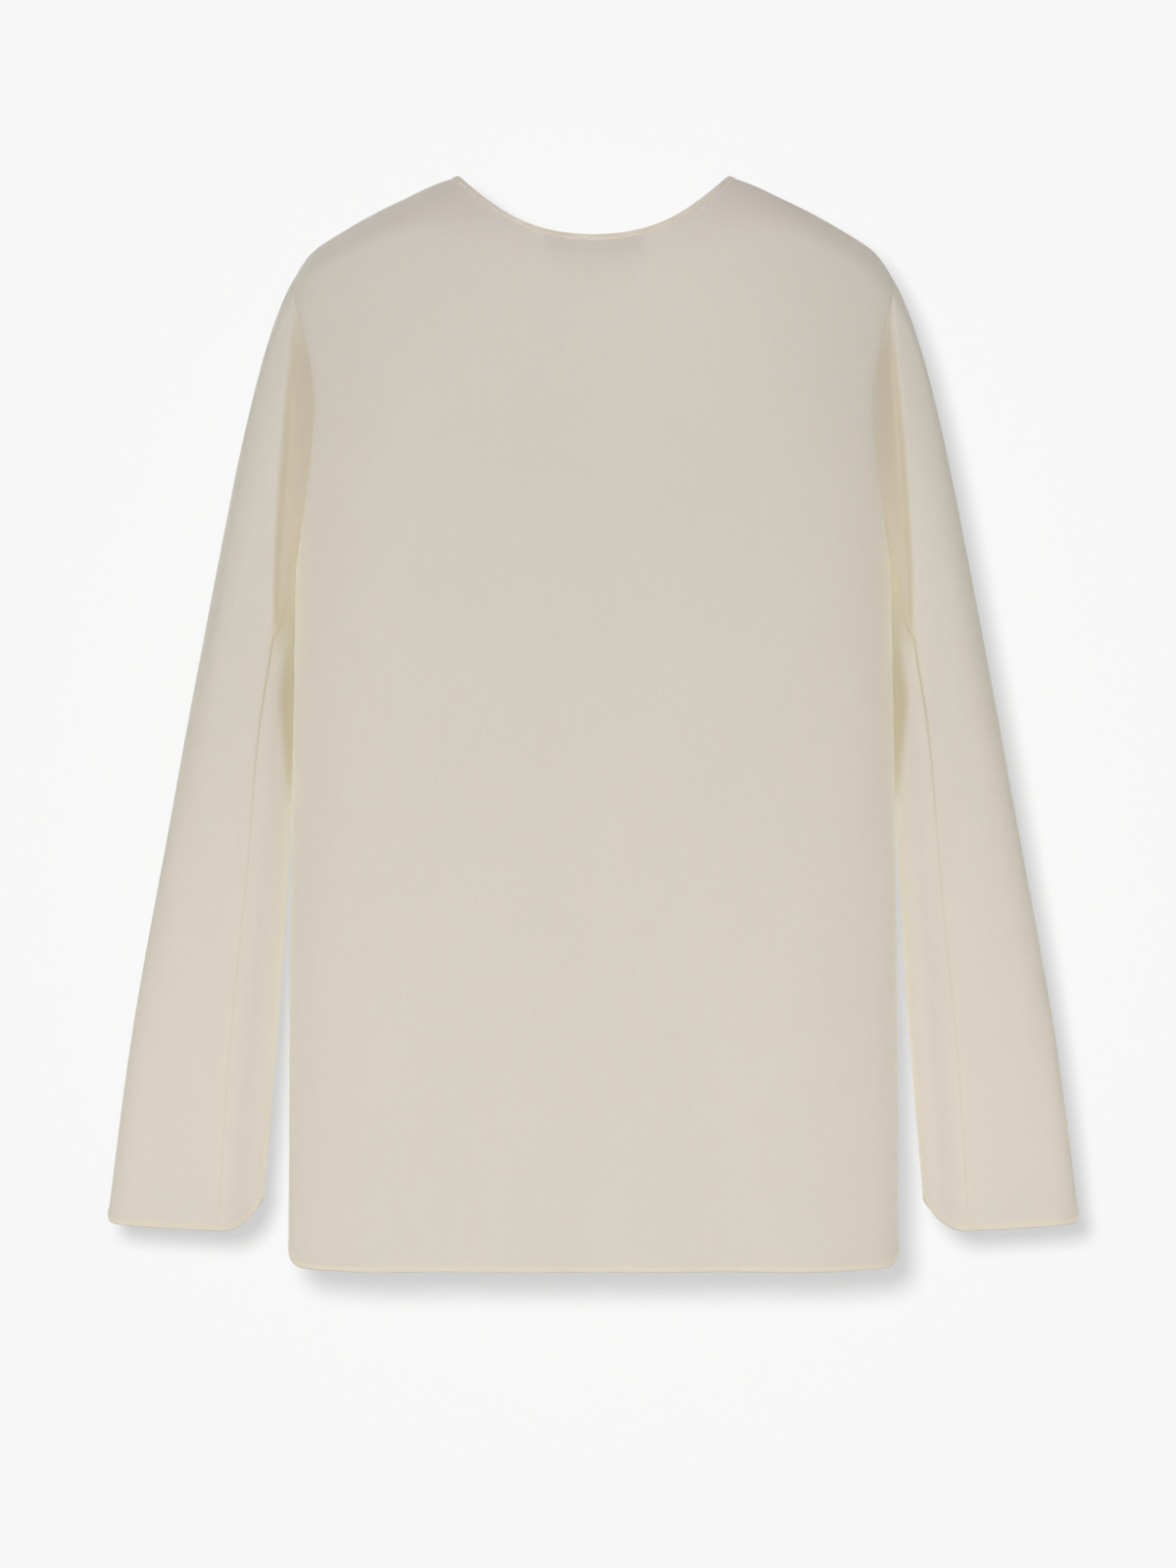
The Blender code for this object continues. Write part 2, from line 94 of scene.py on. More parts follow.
# Each vector divided by its own length
def unitVectors(vectors):
    return vectors / np.maximum(np.linalg.norm(vectors, axis=-1, keepdims=True), 1e-12)


# What is left of each vector when the part along another is taken out, made one long
def squareOff(vectors, along):
    along = unitVectors(along)
    return unitVectors(vectors - along * np.sum(vectors * along, axis=-1, keepdims=True))


# Running length along a grid's rows (axis 1) or columns (axis 0), from 0 at the first point
def runningLength(grid, axis):
    steps = np.linalg.norm(np.diff(grid, axis=axis), axis=-1)
    start = np.zeros_like(np.take(steps, [0], axis=axis))
    return np.concatenate([start, np.cumsum(steps, axis=axis)], axis=axis)


# Reads each column of values, known at rising places, in between them
def readAlong(at, known, values, period=None):
    read = [np.interp(at, known, values[:, k], period=period) for k in range(values.shape[1])]
    return np.stack(read, axis=1)


# Reads each row of close points again at the same shares of that row's own length
def evenRows(lines, shares):
    length = runningLength(lines, 1)
    apart = 2.0 * np.arange(len(lines))[:, None]
    known, wanted = (length / length[:, -1:] + apart).ravel(), (shares[None, :] + apart).ravel()
    read = [np.interp(wanted, known, lines[..., axis].ravel()) for axis in range(3)]
    return np.stack(read, axis=-1).reshape(len(lines), len(shares), 3)


# Cross product of a grid's two directions, turned to point away from the given inner points
def outwardNormals(grid, inside):
    normals = unitVectors(np.cross(np.gradient(grid, axis=1), np.gradient(grid, axis=0)))
    outward = np.sum(normals * (grid - inside), axis=-1, keepdims=True)
    return np.where(outward < 0, -normals, normals)


# Soft ridges and troughs. Each runs on a straight line from (u0, v0) to (u1, v1), its section is a bell
# that is steeper on one side by its lean, and it swells from nothing at both ends
def creaseRise(creases, u, v):
    total = np.zeros(np.broadcast(u, v).shape)
    for u0, v0, u1, v1, width, rise, lean in creases:
        length = math.hypot(u1 - u0, v1 - v0)
        alongU, alongV = (u1 - u0) / length, (v1 - v0) / length
        along = ((u - u0) * alongU + (v - v0) * alongV) / length
        across = (u - u0) * alongV - (v - v0) * alongU
        swell = smoothStep(np.minimum(along + 0.15, 1.15 - along) / 0.55)
        total += rise * swell * bell(across, width * np.where(across > 0, 1 + lean, 1 - lean))
    return total


# Uneven small waves along a seam, as stitching draws the cloth in: three sines whose lengths share no
# multiple, with the phase of the first swinging slowly
def seamWaves(along, phase):
    slow = 1.7 * np.sin(along / 0.0143 + phase)
    return (np.sin(along / 0.00171 + slow) + 0.7 * np.sin(along / 0.00263 + 2 * phase)
            + 0.6 * np.sin(along / 0.00097 + slow * 0.6)) / 2.3


# Height of the cloth beside a seam: it sinks to the seam line, swells a little beyond, and the waves
# fade out from it
def seamRise(distance, along, depth, width, phase):
    sink = -depth * np.exp(-((distance / width) ** 1.3))
    sink = sink + 0.22 * depth * bell(distance - 2.4 * width, 1.3 * width)
    return sink + 0.10 * depth * seamWaves(along, phase) * np.exp(-distance / (2.2 * width))


# Height of a narrow rolled hem by distance from its edge: half an ellipse, and a dent under the stitches
def hemRise(distance):
    width = cloth["hemWidth"]
    roll = np.sqrt(np.clip(1 - ((distance - width / 2) / (width / 2)) ** 2, 0, 1))
    return cloth["hemRise"] * roll - cloth["dent"] * bell(distance - width * 1.02, 0.0007)


# How far a hem's corner is rounded up: most of a quarter ellipse over the last of the way to the side,
# stopped short of its upright end
def cornerLift(fromSide, size, stop=0.995):
    inward = stop * np.clip(1 - fromSide / size[0], 0, 1)
    return size[1] * (1 - np.sqrt(1 - inward**2)) / (1 - math.sqrt(1 - stop**2))


# Quads between the rows and columns of a grid of numbers
def gridQuads(index):
    return np.stack([index[:-1, :-1], index[:-1, 1:], index[1:, 1:], index[1:, :-1]], axis=-1).reshape(-1, 4)


# Closes a grid of numbers round: its first column comes again at the end
def wrapRound(index):
    return np.concatenate([index, index[:, :1]], axis=1)


# Puts a mesh, lamp or camera into the scene at the origin
def linkObject(name, data):
    made = bpy.data.objects.new(name, data)
    bpy.context.scene.collection.objects.link(made)
    return made


# Smooth mesh with a UV map in metres, which has one place for each corner of each face
def smoothPiece(name, points, faces, spread, material):
    mesh = bpy.data.meshes.new(name)
    mesh.from_pydata(points.tolist(), [], faces.tolist())
    layer = mesh.uv_layers.new(name="cloth")
    layer.data.foreach_set("uv", spread.astype(np.float32).ravel())
    mesh.shade_smooth()
    mesh.materials.append(material)
    return linkObject(name, mesh)


# Puts a grid of points into a mesh of quads, with faces turned the way the normals point, and the cloth's
# thickness laid on inwards. Of its tones, layers runs 0 to 1 where more cloth lies behind, and the other
# two are painted shade: in folds, along seam grooves and under the arm, and where another piece is close
def clothPiece(name, grid, normals, u, v, material, thickness, closed=False, tones=None):
    rows, columns = grid.shape[:2]
    index = np.arange(rows * columns).reshape(rows, columns)
    flat = np.arange(rows * (columns + closed)).reshape(rows, columns + closed)
    faces, places = gridQuads(wrapRound(index) if closed else index), gridQuads(flat)
    points = grid.reshape(-1, 3)
    turned = np.cross(points[faces[:, 2]] - points[faces[:, 0]], points[faces[:, 3]] - points[faces[:, 1]])
    if np.sum(turned * normals.reshape(-1, 3)[faces[:, 0]]) < 0:
        faces, places = faces[:, ::-1], places[:, ::-1]
    spread = np.stack([u.ravel(), v.ravel()], axis=1)[places.ravel()]
    made = smoothPiece(name, points, faces, spread, material)
    for kind in toneKinds:
        values = np.clip(tones[kind], 0, 1).ravel() if tones else np.zeros(rows * columns)
        made.data.attributes.new(kind, "FLOAT", "POINT").data.foreach_set("value", values.astype(np.float32))
    wall = made.modifiers.new("thickness", "SOLIDIFY")
    wall.thickness = thickness
    wall.offset = -1.0
    return made


# Little rounded bars laid along lines: a stitch is a six sided spindle whose radius follows half an
# ellipse, all placed at once as arrays. Two sines shift the stitches a little along their line
def stitchPiece(name, lines, material, look):
    ring = np.linspace(0, 2 * math.pi, 6, endpoint=False)
    ends = np.array([-1.0, -0.86, -0.45, 0.0, 0.45, 0.86, 1.0])
    size = np.sqrt(np.clip(1 - ends**2, 0.02, 1))
    template = np.stack([
        np.repeat(ends * look["length"] / 2, 6),
        (size[:, None] * np.cos(ring) * look["radius"]).ravel(),
        (size[:, None] * np.sin(ring) * look["radius"]).ravel(),
    ], axis=1)
    index = np.arange(len(template)).reshape(len(ends), 6)
    caps = [index[end, corners] for end, corners in (
        (0, [0, 3, 2, 1]), (0, [0, 5, 4, 3]), (-1, [0, 1, 2, 3]), (-1, [0, 3, 4, 5]),
    )]
    around = np.concatenate([gridQuads(wrapRound(index)), np.array(caps)])
    points, faces, spreads, base = [], [], [], 0
    for line, lifts in lines:
        length = runningLength(line[None], 1)[0]
        count = int(length[-1] / look["pitch"])
        at = (np.arange(count) + 0.5) * length[-1] / count
        at = at + 0.12 * look["pitch"] * np.sin(at / 0.0037) * np.sin(at / 0.0111)
        lift = unitVectors(readAlong(at, length, lifts))
        ahead = squareOff(readAlong(at + 1e-4, length, line) - readAlong(at - 1e-4, length, line), lift)
        aside = np.cross(lift, ahead)
        centre = readAlong(at, length, line) + lift * look["proud"]
        placed = (centre[:, None] + template[None, :, :1] * ahead[:, None]
                  + template[None, :, 1:2] * aside[:, None] + template[None, :, 2:] * lift[:, None])
        points.append(placed.reshape(-1, 3))
        starts = base + np.arange(count) * len(template)
        faces.append((around[None] + starts[:, None, None]).reshape(-1, 4))
        spreads.append(np.stack([(template[None, :, 0] + at[:, None]).ravel(),
                                 np.tile(template[:, 1], count)], axis=1))
        base += count * len(template)
    points, faces, spreads = np.concatenate(points), np.concatenate(faces), np.concatenate(spreads)
    return smoothPiece(name, points, faces, spreads[faces.ravel()], material)


# Finishes

# Names one input or output of a node group
def socket(tree, name, kind, way, value=None, low=None, high=None):
    made = tree.interface.new_socket(name=name, in_out=way, socket_type=kind)
    if value is not None:
        made.default_value = value
    if low is not None:
        made.min_value, made.max_value = low, high
    return made


# Adds a node with its settings
def node(tree, kind, place, **settings):
    made = tree.nodes.new(kind)
    made.location = place
    for name, value in settings.items():
        setattr(made, name, value)
    return made


# Adds a sum on one or two values, each a number or another node's output
def maths(tree, operation, place, first, second=None):
    made = node(tree, "ShaderNodeMath", place, operation=operation)
    for slot, value in enumerate((first, second)):
        if value is None:
            continue
        if isinstance(value, (int, float)):
            made.inputs[slot].default_value = value
        else:
            tree.links.new(value, made.inputs[slot])
    return made.outputs[0]


# Crepe weave on a UV map in metres. Threads are the product of two sines, which is a plain weave's
# chequer of raised crossings. Crepe grain is noise a little longer along the piece, slubs are noise
# drawn out along it, and the cast is broad noise that shifts the tone by a touch
def weaveGroup():
    tree = bpy.data.node_groups.new("silkWeave", "ShaderNodeTree")
    socket(tree, "Vector", "NodeSocketVector", "INPUT")
    for name in ("Light Tone", "Deep Tone", "Doubled Tone", "Hollow Tone", "Shade Tone"):
        socket(tree, name, "NodeSocketColor", "INPUT", (0.7, 0.64, 0.56, 1))
    # value, lowest and highest
    amounts = {
        "Layers": (0.0, 0.0, 1.0), "Occlusion": (0.0, 0.0, 1.0), "Shaded": (0.0, 0.0, 1.0),
        "Thread Pitch": (0.00036, 0.00005, 0.01), "Grain Size": (0.0011, 0.0001, 0.05),
        "Grain Amount": (0.3, 0.0, 2.0), "Slub Amount": (0.2, 0.0, 2.0), "Cast Amount": (0.2, 0.0, 2.0),
        "Roughness": (0.55, 0.0, 1.0),
    }
    for name, (value, low, high) in amounts.items():
        socket(tree, name, "NodeSocketFloat", "INPUT", value, low, high)
    for name, kind in (("Color", "Color"), ("Roughness", "Float"), ("Height", "Float")):
        socket(tree, name, "NodeSocket" + kind, "OUTPUT")
    given = node(tree, "NodeGroupInput", (-1400, 0))
    parts = node(tree, "ShaderNodeSeparateXYZ", (-1150, 200))
    tree.links.new(given.outputs["Vector"], parts.inputs[0])

    across = maths(tree, "DIVIDE", (-950, 260), parts.outputs[0], given.outputs["Thread Pitch"])
    along = maths(tree, "DIVIDE", (-950, 120), parts.outputs[1], given.outputs["Thread Pitch"])
    warp = maths(tree, "SINE", (-600, 260), maths(tree, "MULTIPLY", (-780, 260), across, math.pi))
    weft = maths(tree, "SINE", (-600, 120), maths(tree, "MULTIPLY", (-780, 120), along, math.pi))
    threads = maths(tree, "MULTIPLY", (-420, 200), warp, weft)

    def clothNoise(place, wide, tall, detail):
        shape = node(tree, "ShaderNodeCombineXYZ", (place[0] - 200, place[1]))
        for slot, ratio in enumerate((wide, tall)):
            spot = (place[0] - 560, place[1] - 80 * slot)
            size = maths(tree, "MULTIPLY", spot, given.outputs["Grain Size"], ratio)
            part = maths(tree, "DIVIDE", (place[0] - 380, place[1] - 80 * slot), parts.outputs[slot], size)
            tree.links.new(part, shape.inputs[slot])
        made = node(tree, "ShaderNodeTexNoise", place, noise_dimensions="2D")
        made.inputs["Scale"].default_value = 1.0
        made.inputs["Detail"].default_value = detail
        tree.links.new(shape.outputs[0], made.inputs["Vector"])
        return maths(tree, "SUBTRACT", (place[0] + 180, place[1]), made.outputs[0], 0.5)

    grain = clothNoise((-420, -80), 1.0, 1.25, 2.0)
    slubs = clothNoise((-420, -340), 0.9, 16.0, 1.0)
    cast = clothNoise((-420, -600), 34.0, 70.0, 1.0)
    grainPart = maths(tree, "MULTIPLY", (0, -80), grain, given.outputs["Grain Amount"])
    slubPart = maths(tree, "MULTIPLY", (0, -340), slubs, given.outputs["Slub Amount"])
    castPart = maths(tree, "MULTIPLY", (0, -600), cast, given.outputs["Cast Amount"])
    fine = maths(tree, "ADD", (180, -200), grainPart, slubPart)
    tone = maths(tree, "ADD", (520, -300), maths(tree, "ADD", (350, -300), fine, castPart), 0.5)

    def mixTones(place, factor, first, second, blend="MIX"):
        made = node(tree, "ShaderNodeMix", place, data_type="RGBA", blend_type=blend, clamp_factor=True)
        for key, value in (("Factor", factor), (6, first), (7, given.outputs[second])):
            tree.links.new(value, made.inputs[key])
        return made.outputs[2]

    plain = mixTones((700, 100), tone, given.outputs["Deep Tone"], "Light Tone")
    doubled = mixTones((880, 160), given.outputs["Layers"], plain, "Doubled Tone")
    # painted shade: warmer and darker in folds, seam grooves and under the arm, darker beside other pieces
    sunk = mixTones((1060, 160), given.outputs["Occlusion"], doubled, "Hollow Tone")
    shaded = mixTones((1240, 160), given.outputs["Shaded"], sunk, "Shade Tone", "MULTIPLY")
    smoother = maths(tree, "MULTIPLY", (520, -120), fine, 0.2)
    rough = maths(tree, "SUBTRACT", (700, -120), given.outputs["Roughness"], smoother)
    raised = maths(tree, "MULTIPLY", (350, 200), threads, 0.10)
    height = maths(tree, "ADD", (700, -400), raised, maths(tree, "ADD", (350, 40), fine, 0.5))
    out = node(tree, "NodeGroupOutput", (1430, 0))
    for key, value in (("Color", shaded), ("Roughness", rough), ("Height", height)):
        tree.links.new(value, out.inputs[key])
    return tree


silkWeave = weaveGroup()

# what every finish takes: its painted shade tones, for folds, seam grooves and where another piece is
# close, and its shader's settings
paintedShadeTones = {"Hollow Tone": (0.500, 0.410, 0.270, 1), "Shade Tone": (0.83, 0.825, 0.89, 1)}
sharedShader = {"Metallic": 0.0, "Specular IOR Level": 0.32, "Sheen Roughness": 0.45}
finishes = {
    "silk": {
        "weave": {
            "Light Tone": (0.708, 0.670, 0.626, 1), "Deep Tone": (0.632, 0.594, 0.550, 1),
            "Doubled Tone": (0.690, 0.640, 0.540, 1), "Thread Pitch": 0.00032, "Grain Size": 0.0016,
            "Grain Amount": 0.62, "Slub Amount": 0.34, "Cast Amount": 0.22, "Roughness": 0.58,
        },
        "bump": 0.22, "bumpDistance": 0.00022, "sheen": 0.06,
        "through": 0.42, "throughTone": (0.755, 0.710, 0.655, 1),
    },
    # painted light: the binding's tones are lighter than the silk's, for the light its up-facing top misses
    "silkBinding": {
        "weave": {
            "Light Tone": (0.850, 0.790, 0.690, 1), "Deep Tone": (0.790, 0.725, 0.615, 1),
            "Doubled Tone": (0.690, 0.640, 0.540, 1), "Thread Pitch": 0.00032, "Grain Size": 0.0009,
            "Grain Amount": 0.40, "Slub Amount": 0.20, "Cast Amount": 0.10, "Roughness": 0.52,
        },
        "bump": 0.25, "bumpDistance": 0.00020, "sheen": 0.08,
        "through": 0.12, "throughTone": (0.74, 0.640, 0.510, 1),
    },
    "labelTape": {
        "weave": {
            "Light Tone": (0.600, 0.560, 0.510, 1), "Deep Tone": (0.520, 0.480, 0.430, 1),
            "Doubled Tone": (0.560, 0.520, 0.470, 1), "Thread Pitch": 0.00045, "Grain Size": 0.0008,
            "Grain Amount": 0.50, "Slub Amount": 0.30, "Cast Amount": 0.05, "Roughness": 0.72,
        },
        "bump": 0.40, "bumpDistance": 0.00025, "sheen": 0.04,
        "through": 0.05, "throughTone": (0.55, 0.500, 0.450, 1),
    },
    "silkThread": {
        "weave": {
            "Light Tone": (0.720, 0.670, 0.590, 1), "Deep Tone": (0.660, 0.605, 0.520, 1),
            "Doubled Tone": (0.690, 0.640, 0.540, 1), "Thread Pitch": 0.00020, "Grain Size": 0.0004,
            "Grain Amount": 0.40, "Slub Amount": 0.30, "Cast Amount": 0.05, "Roughness": 0.42,
        },
        "bump": 0.30, "bumpDistance": 0.00006, "sheen": 0.05, "through": 0.0,
    },
}


# The weave feeds a Principled shader's colour, roughness and bump. Where light passes through the cloth, a
# translucent shader is mixed in
def clothFinish(name, look):
    material = bpy.data.materials.new(name)
    material.use_nodes = True
    tree = material.node_tree
    shader, out = tree.nodes["Principled BSDF"], tree.nodes["Material Output"]
    where = node(tree, "ShaderNodeUVMap", (-700, 0), uv_map="cloth")
    weave = node(tree, "ShaderNodeGroup", (-450, 0), node_tree=silkWeave)
    tree.links.new(where.outputs[0], weave.inputs["Vector"])
    for step, kind in enumerate(toneKinds):
        spread = node(tree, "ShaderNodeAttribute", (-700, -200 - 180 * step), attribute_name=kind)
        tree.links.new(spread.outputs["Fac"], weave.inputs[kind.title()])
    for key, value in (paintedShadeTones | look["weave"]).items():
        weave.inputs[key].default_value = value
    for key, value in (sharedShader | {"Sheen Weight": look["sheen"]}).items():
        shader.inputs[key].default_value = value
    raised = node(tree, "ShaderNodeBump", (-200, -250))
    raised.inputs["Strength"].default_value = look["bump"]
    raised.inputs["Distance"].default_value = look["bumpDistance"]
    tree.links.new(weave.outputs["Height"], raised.inputs["Height"])
    tree.links.new(weave.outputs["Color"], shader.inputs["Base Color"])
    tree.links.new(weave.outputs["Roughness"], shader.inputs["Roughness"])
    tree.links.new(raised.outputs[0], shader.inputs["Normal"])
    if look["through"] > 0:
        passing = node(tree, "ShaderNodeBsdfTranslucent", (0, -350))
        passing.inputs["Color"].default_value = look["throughTone"]
        tree.links.new(raised.outputs[0], passing.inputs["Normal"])
        both = node(tree, "ShaderNodeMixShader", (300, 0))
        both.inputs[0].default_value = look["through"]
        tree.links.new(shader.outputs[0], both.inputs[1])
        tree.links.new(passing.outputs[0], both.inputs[2])
        tree.links.new(both.outputs[0], out.inputs["Surface"])
    material.diffuse_color = look["weave"]["Light Tone"]
    return material


silk, silkBinding, labelTape, silkThread = (clothFinish(name, look) for name, look in finishes.items())
print("scene: finishes made")

# Body

body = {
    "hemZ": -0.704, "underarmZ": -0.269, "neckSeamHalfWidth": 0.0918,
    # z, half width, depth behind, its squareness, depth in front, its squareness
    "sections": np.array([
        (-0.704, 0.1965, 0.0975, 5.0, 0.1050, 4.2),
        (-0.530, 0.1962, 0.0950, 4.4, 0.1035, 3.8),
        (-0.376, 0.1948, 0.0940, 3.8, 0.1070, 3.3),
        (-0.269, 0.1933, 0.0960, 3.5, 0.1100, 3.1),
        (-0.200, 0.1943, 0.0980, 3.2, 0.1090, 2.9),
        (-0.150, 0.1958, 0.0975, 3.1, 0.1060, 2.8),
        (-0.110, 0.2005, 0.0955, 3.1, 0.1030, 2.8),
        (-0.065, 0.2085, 0.0930, 3.1, 0.1000, 2.8),
        (0.000, 0.2150, 0.0900, 3.1, 0.0970, 2.8),
    ]),
    # line over the shoulders: x, z, and how far the cloth takes to round over it
    "crest": np.array([
        (0.0000, 0.0060, 0.080), (0.0450, 0.0048, 0.074), (0.0900, -0.0018, 0.055),
        (0.1060, -0.0077, 0.043), (0.1200, -0.0145, 0.035), (0.1400, -0.0243, 0.030),
        (0.1580, -0.0343, 0.028), (0.1740, -0.0439, 0.027), (0.1865, -0.0545, 0.027),
        (0.1940, -0.0660, 0.027),
    ]),
    "shoulderShare": 0.60, "slopeBehind": 0.170, "slopeInFront": 0.225,
    # z, half width behind and in front
    "armhole": np.array([
        (-0.2690, 0.1933, 0.1933), (-0.2600, 0.1925, 0.1923), (-0.2450, 0.1896, 0.1885),
        (-0.2240, 0.1864, 0.1843), (-0.2026, 0.1832, 0.1802), (-0.1797, 0.1806, 0.1772),
        (-0.1592, 0.1794, 0.1762), (-0.1423, 0.1802, 0.1774), (-0.1258, 0.1827, 0.1805),
        (-0.1127, 0.1857, 0.1842), (-0.0943, 0.1900, 0.1893), (-0.0790, 0.1930, 0.1928),
        (-0.0660, 0.1940, 0.1940),
    ]),
    # station, height of the row's middle behind and in front, and how flat its bow is
    "rows": np.array([
        (0.0, -0.7040, -0.7040, 2.0, 2.0), (0.5, -0.4830, -0.4860, 2.0, 2.0),
        (1.0, -0.2640, -0.2750, 2.0, 2.0), (1.5, -0.1850, -0.2150, 2.0, 2.1),
        (2.0, -0.1260, -0.1720, 2.0, 2.3), (2.5, -0.0870, -0.1400, 2.0, 2.5),
        (3.0, -0.0510, -0.1060, 2.35, 2.6),
    ]),
    # how much the columns crowd at the seams, and the rows at the neck
    "halfColumns": 88, "crowding": 0.20, "closePoints": 401,
    "sideRows": 96, "armholeRows": 58, "shoulderRows": 40, "neckCrowding": 0.12,
    "seamWidth": 0.0030, "seamDepth": {"side": 0.0005, "armhole": 0.0006, "tip": 0.0001, "shoulder": 0.0004},
    # strength of the painted shade along each seam's groove, at the side, armhole and shoulder
    "seamShade": {"side": 0.25, "armhole": 0.42, "shoulder": 0.30},
    "creaseFade": 0.012,                   # within this of a seam the creases fade
    "hemCorner": (0.0110, 0.0105),         # width and height of the rounding at the sides
    "cornerFade": 0.07,                    # how far up it moves the cloth
    # painted shade beside the side seam, where the sleeve hangs close: z of the top, and over what height it
    # fades at both ends. Then for each shade z of the lower end, last station, amount, how far from the seam
    # it reaches, and over what width it fades
    "underArm": {
        "top": -0.268, "topFade": 0.030, "bottomFade": 0.060,
        "occlusion": (-0.525, 1.0, 0.80, 0.0062, 0.0030), "shaded": (-0.438, 1.3, 0.50, 0.0220, 0.0160),
    },
}

backPanel = {
    "side": behind, "flat": (0.545, 0.735), "area": 0.335,
    # soft folds that grow to the hem: x at the top, x at the hem, z of the top, half width, rise
    "folds": np.array([
        (0.105, 0.141, -0.330, 0.026, 0.0045), (-0.105, -0.136, -0.300, 0.028, 0.0045),
        (0.020, 0.048, -0.420, 0.026, 0.0020), (-0.010, -0.040, -0.460, 0.024, 0.0018),
        (0.072, 0.092, -0.400, 0.020, -0.0020), (-0.070, -0.086, -0.380, 0.020, -0.0020),
    ]),
    # creases: x and z of both ends, half width, rise, lean
    "creases": [
        (0.172, -0.292, 0.128, -0.372, 0.0080, -0.0009, 0.2),
        (0.180, -0.330, 0.150, -0.420, 0.0090, 0.0008, -0.2),
        (-0.174, -0.296, -0.134, -0.362, 0.0075, -0.0009, -0.2),
        (-0.182, -0.336, -0.158, -0.440, 0.0100, 0.0007, 0.1),
        (0.168, -0.104, 0.150, -0.182, 0.0080, -0.0007, 0.1),
        (-0.168, -0.108, -0.152, -0.176, 0.0085, -0.0007, -0.1),
        (0.066, -0.640, 0.070, -0.712, 0.0085, 0.0011, 0.1),
        (0.033, -0.655, 0.034, -0.714, 0.0080, 0.0009, 0.0),
        (0.003, -0.625, 0.000, -0.716, 0.0090, 0.0010, 0.1),
        (-0.030, -0.660, -0.031, -0.712, 0.0075, 0.0009, -0.1),
        (-0.060, -0.645, -0.063, -0.716, 0.0085, 0.0010, 0.0),
    ],
    "wavePhase": 0.7,
}

frontPanel = {
    "side": inFront, "flat": (0.545, 0.735), "area": 0.335,
    "folds": np.array([
        (0.088, 0.128, -0.300, 0.026, 0.0055), (-0.086, -0.122, -0.310, 0.027, 0.0055),
        (0.030, 0.052, -0.360, 0.024, 0.0032), (-0.018, -0.030, -0.340, 0.024, 0.0034),
        (0.060, 0.090, -0.330, 0.018, -0.0030), (-0.056, -0.078, -0.340, 0.018, -0.0030),
    ]),
    "creases": [
        (0.170, -0.288, 0.118, -0.352, 0.0085, -0.0012, 0.2),
        (0.176, -0.322, 0.136, -0.404, 0.0090, 0.0010, -0.2),
        (-0.172, -0.290, -0.116, -0.346, 0.0080, -0.0012, -0.2),
        (-0.180, -0.330, -0.142, -0.420, 0.0095, 0.0009, 0.1),
        (0.164, -0.110, 0.140, -0.196, 0.0085, -0.0010, 0.1),
        (-0.164, -0.116, -0.138, -0.190, 0.0090, -0.0010, -0.1),
        (0.012, -0.640, 0.014, -0.714, 0.0090, 0.0011, 0.1),
        (-0.052, -0.650, -0.055, -0.716, 0.0085, 0.0010, 0.0),
        (0.078, -0.655, 0.082, -0.712, 0.0080, 0.0010, 0.1),
    ],
    "wavePhase": 2.1,
}


# Each soft fold is a bell across a slanting line, and grows from nothing at its top to all at the hem
def foldRise(folds, x, z):
    total = np.zeros_like(x)
    for xTop, xHem, zTop, halfWidth, rise in folds:
        down = (zTop - z) / (zTop - body["hemZ"])
        total += rise * smoothStep(down) * bell(x - xTop - (xHem - xTop) * np.clip(down, 0, 1), halfWidth)
    return total


# How far a panel lies from the plane of the side seams: a superellipse over the width, times a quarter
# of an ellipse below the shoulder line and then a slope
def bodyDepth(panel, x, z):
    column, slope = (2, body["slopeBehind"]) if panel["side"] == behind else (4, body["slopeInFront"])
    out = np.clip(np.abs(x) / curveThrough(body["sections"], 1, z), 0, 1)
    square = curveThrough(body["sections"], column + 1, z)
    level = (1 - out**square) ** (1 / square)
    below = curveThrough(body["crest"], 1, np.abs(x)) - z
    rounding = 1 - np.clip(below / curveThrough(body["crest"], 2, np.abs(x)), 0, 1)
    slack = (1 - body["shoulderShare"]) * (1 - np.clip(below / slope, 0, 1)) ** 2
    arch = np.sqrt(1 - rounding**2) * (1 - slack)
    return (curveThrough(body["sections"], column, z) + foldRise(panel["folds"], x, z)) * level * arch


# Takes the first for stations up the side seam, the second up the armhole, the third along the shoulder
def byStretch(station, side, armhole, shoulder):
    return np.where(station <= 1, side, np.where(station <= 2, armhole, shoulder))


# Edge of a panel on +X by station: 0 to 1 up the side seam, to 2 up the armhole, to 3 along the shoulder
def edgePoint(panel, station):
    station = np.asarray(station, float)
    tipX, tipZ = body["crest"][-1, :2]
    sideZ = body["hemZ"] + (body["underarmZ"] - body["hemZ"]) * np.clip(station, 0, 1)
    turn = (np.clip(station - 1, 0, 1) - 0.5) * math.pi
    armZ = (body["underarmZ"] + tipZ) / 2 + (tipZ - body["underarmZ"]) / 2 * np.sin(turn)
    seamX = tipX + (body["neckSeamHalfWidth"] - tipX) * np.clip(station - 2, 0, 1)
    armX = curveThrough(body["armhole"], 1 if panel["side"] == behind else 2, armZ)
    x = byStretch(station, curveThrough(body["sections"], 1, sideZ), armX, seamX)
    z = byStretch(station, sideZ, armZ, curveThrough(body["crest"], 1, seamX))
    return x, z


# Outer face of a panel: a row bows from its middle's height to its edge's, and across runs 0 to 1
def bodyPoint(panel, station, across):
    edgeX, edgeZ = edgePoint(panel, station)
    inFrontToo = int(panel["side"] == inFront)
    middle = curveThrough(body["rows"], 1 + inFrontToo, station)
    bow = curveThrough(body["rows"], 3 + inFrontToo, station)
    x = edgeX * across
    z = edgeZ + (middle - edgeZ) * (1 - np.abs(across) ** bow)
    return np.stack([x, panel["side"] * bodyDepth(panel, x, z), z], axis=-1)


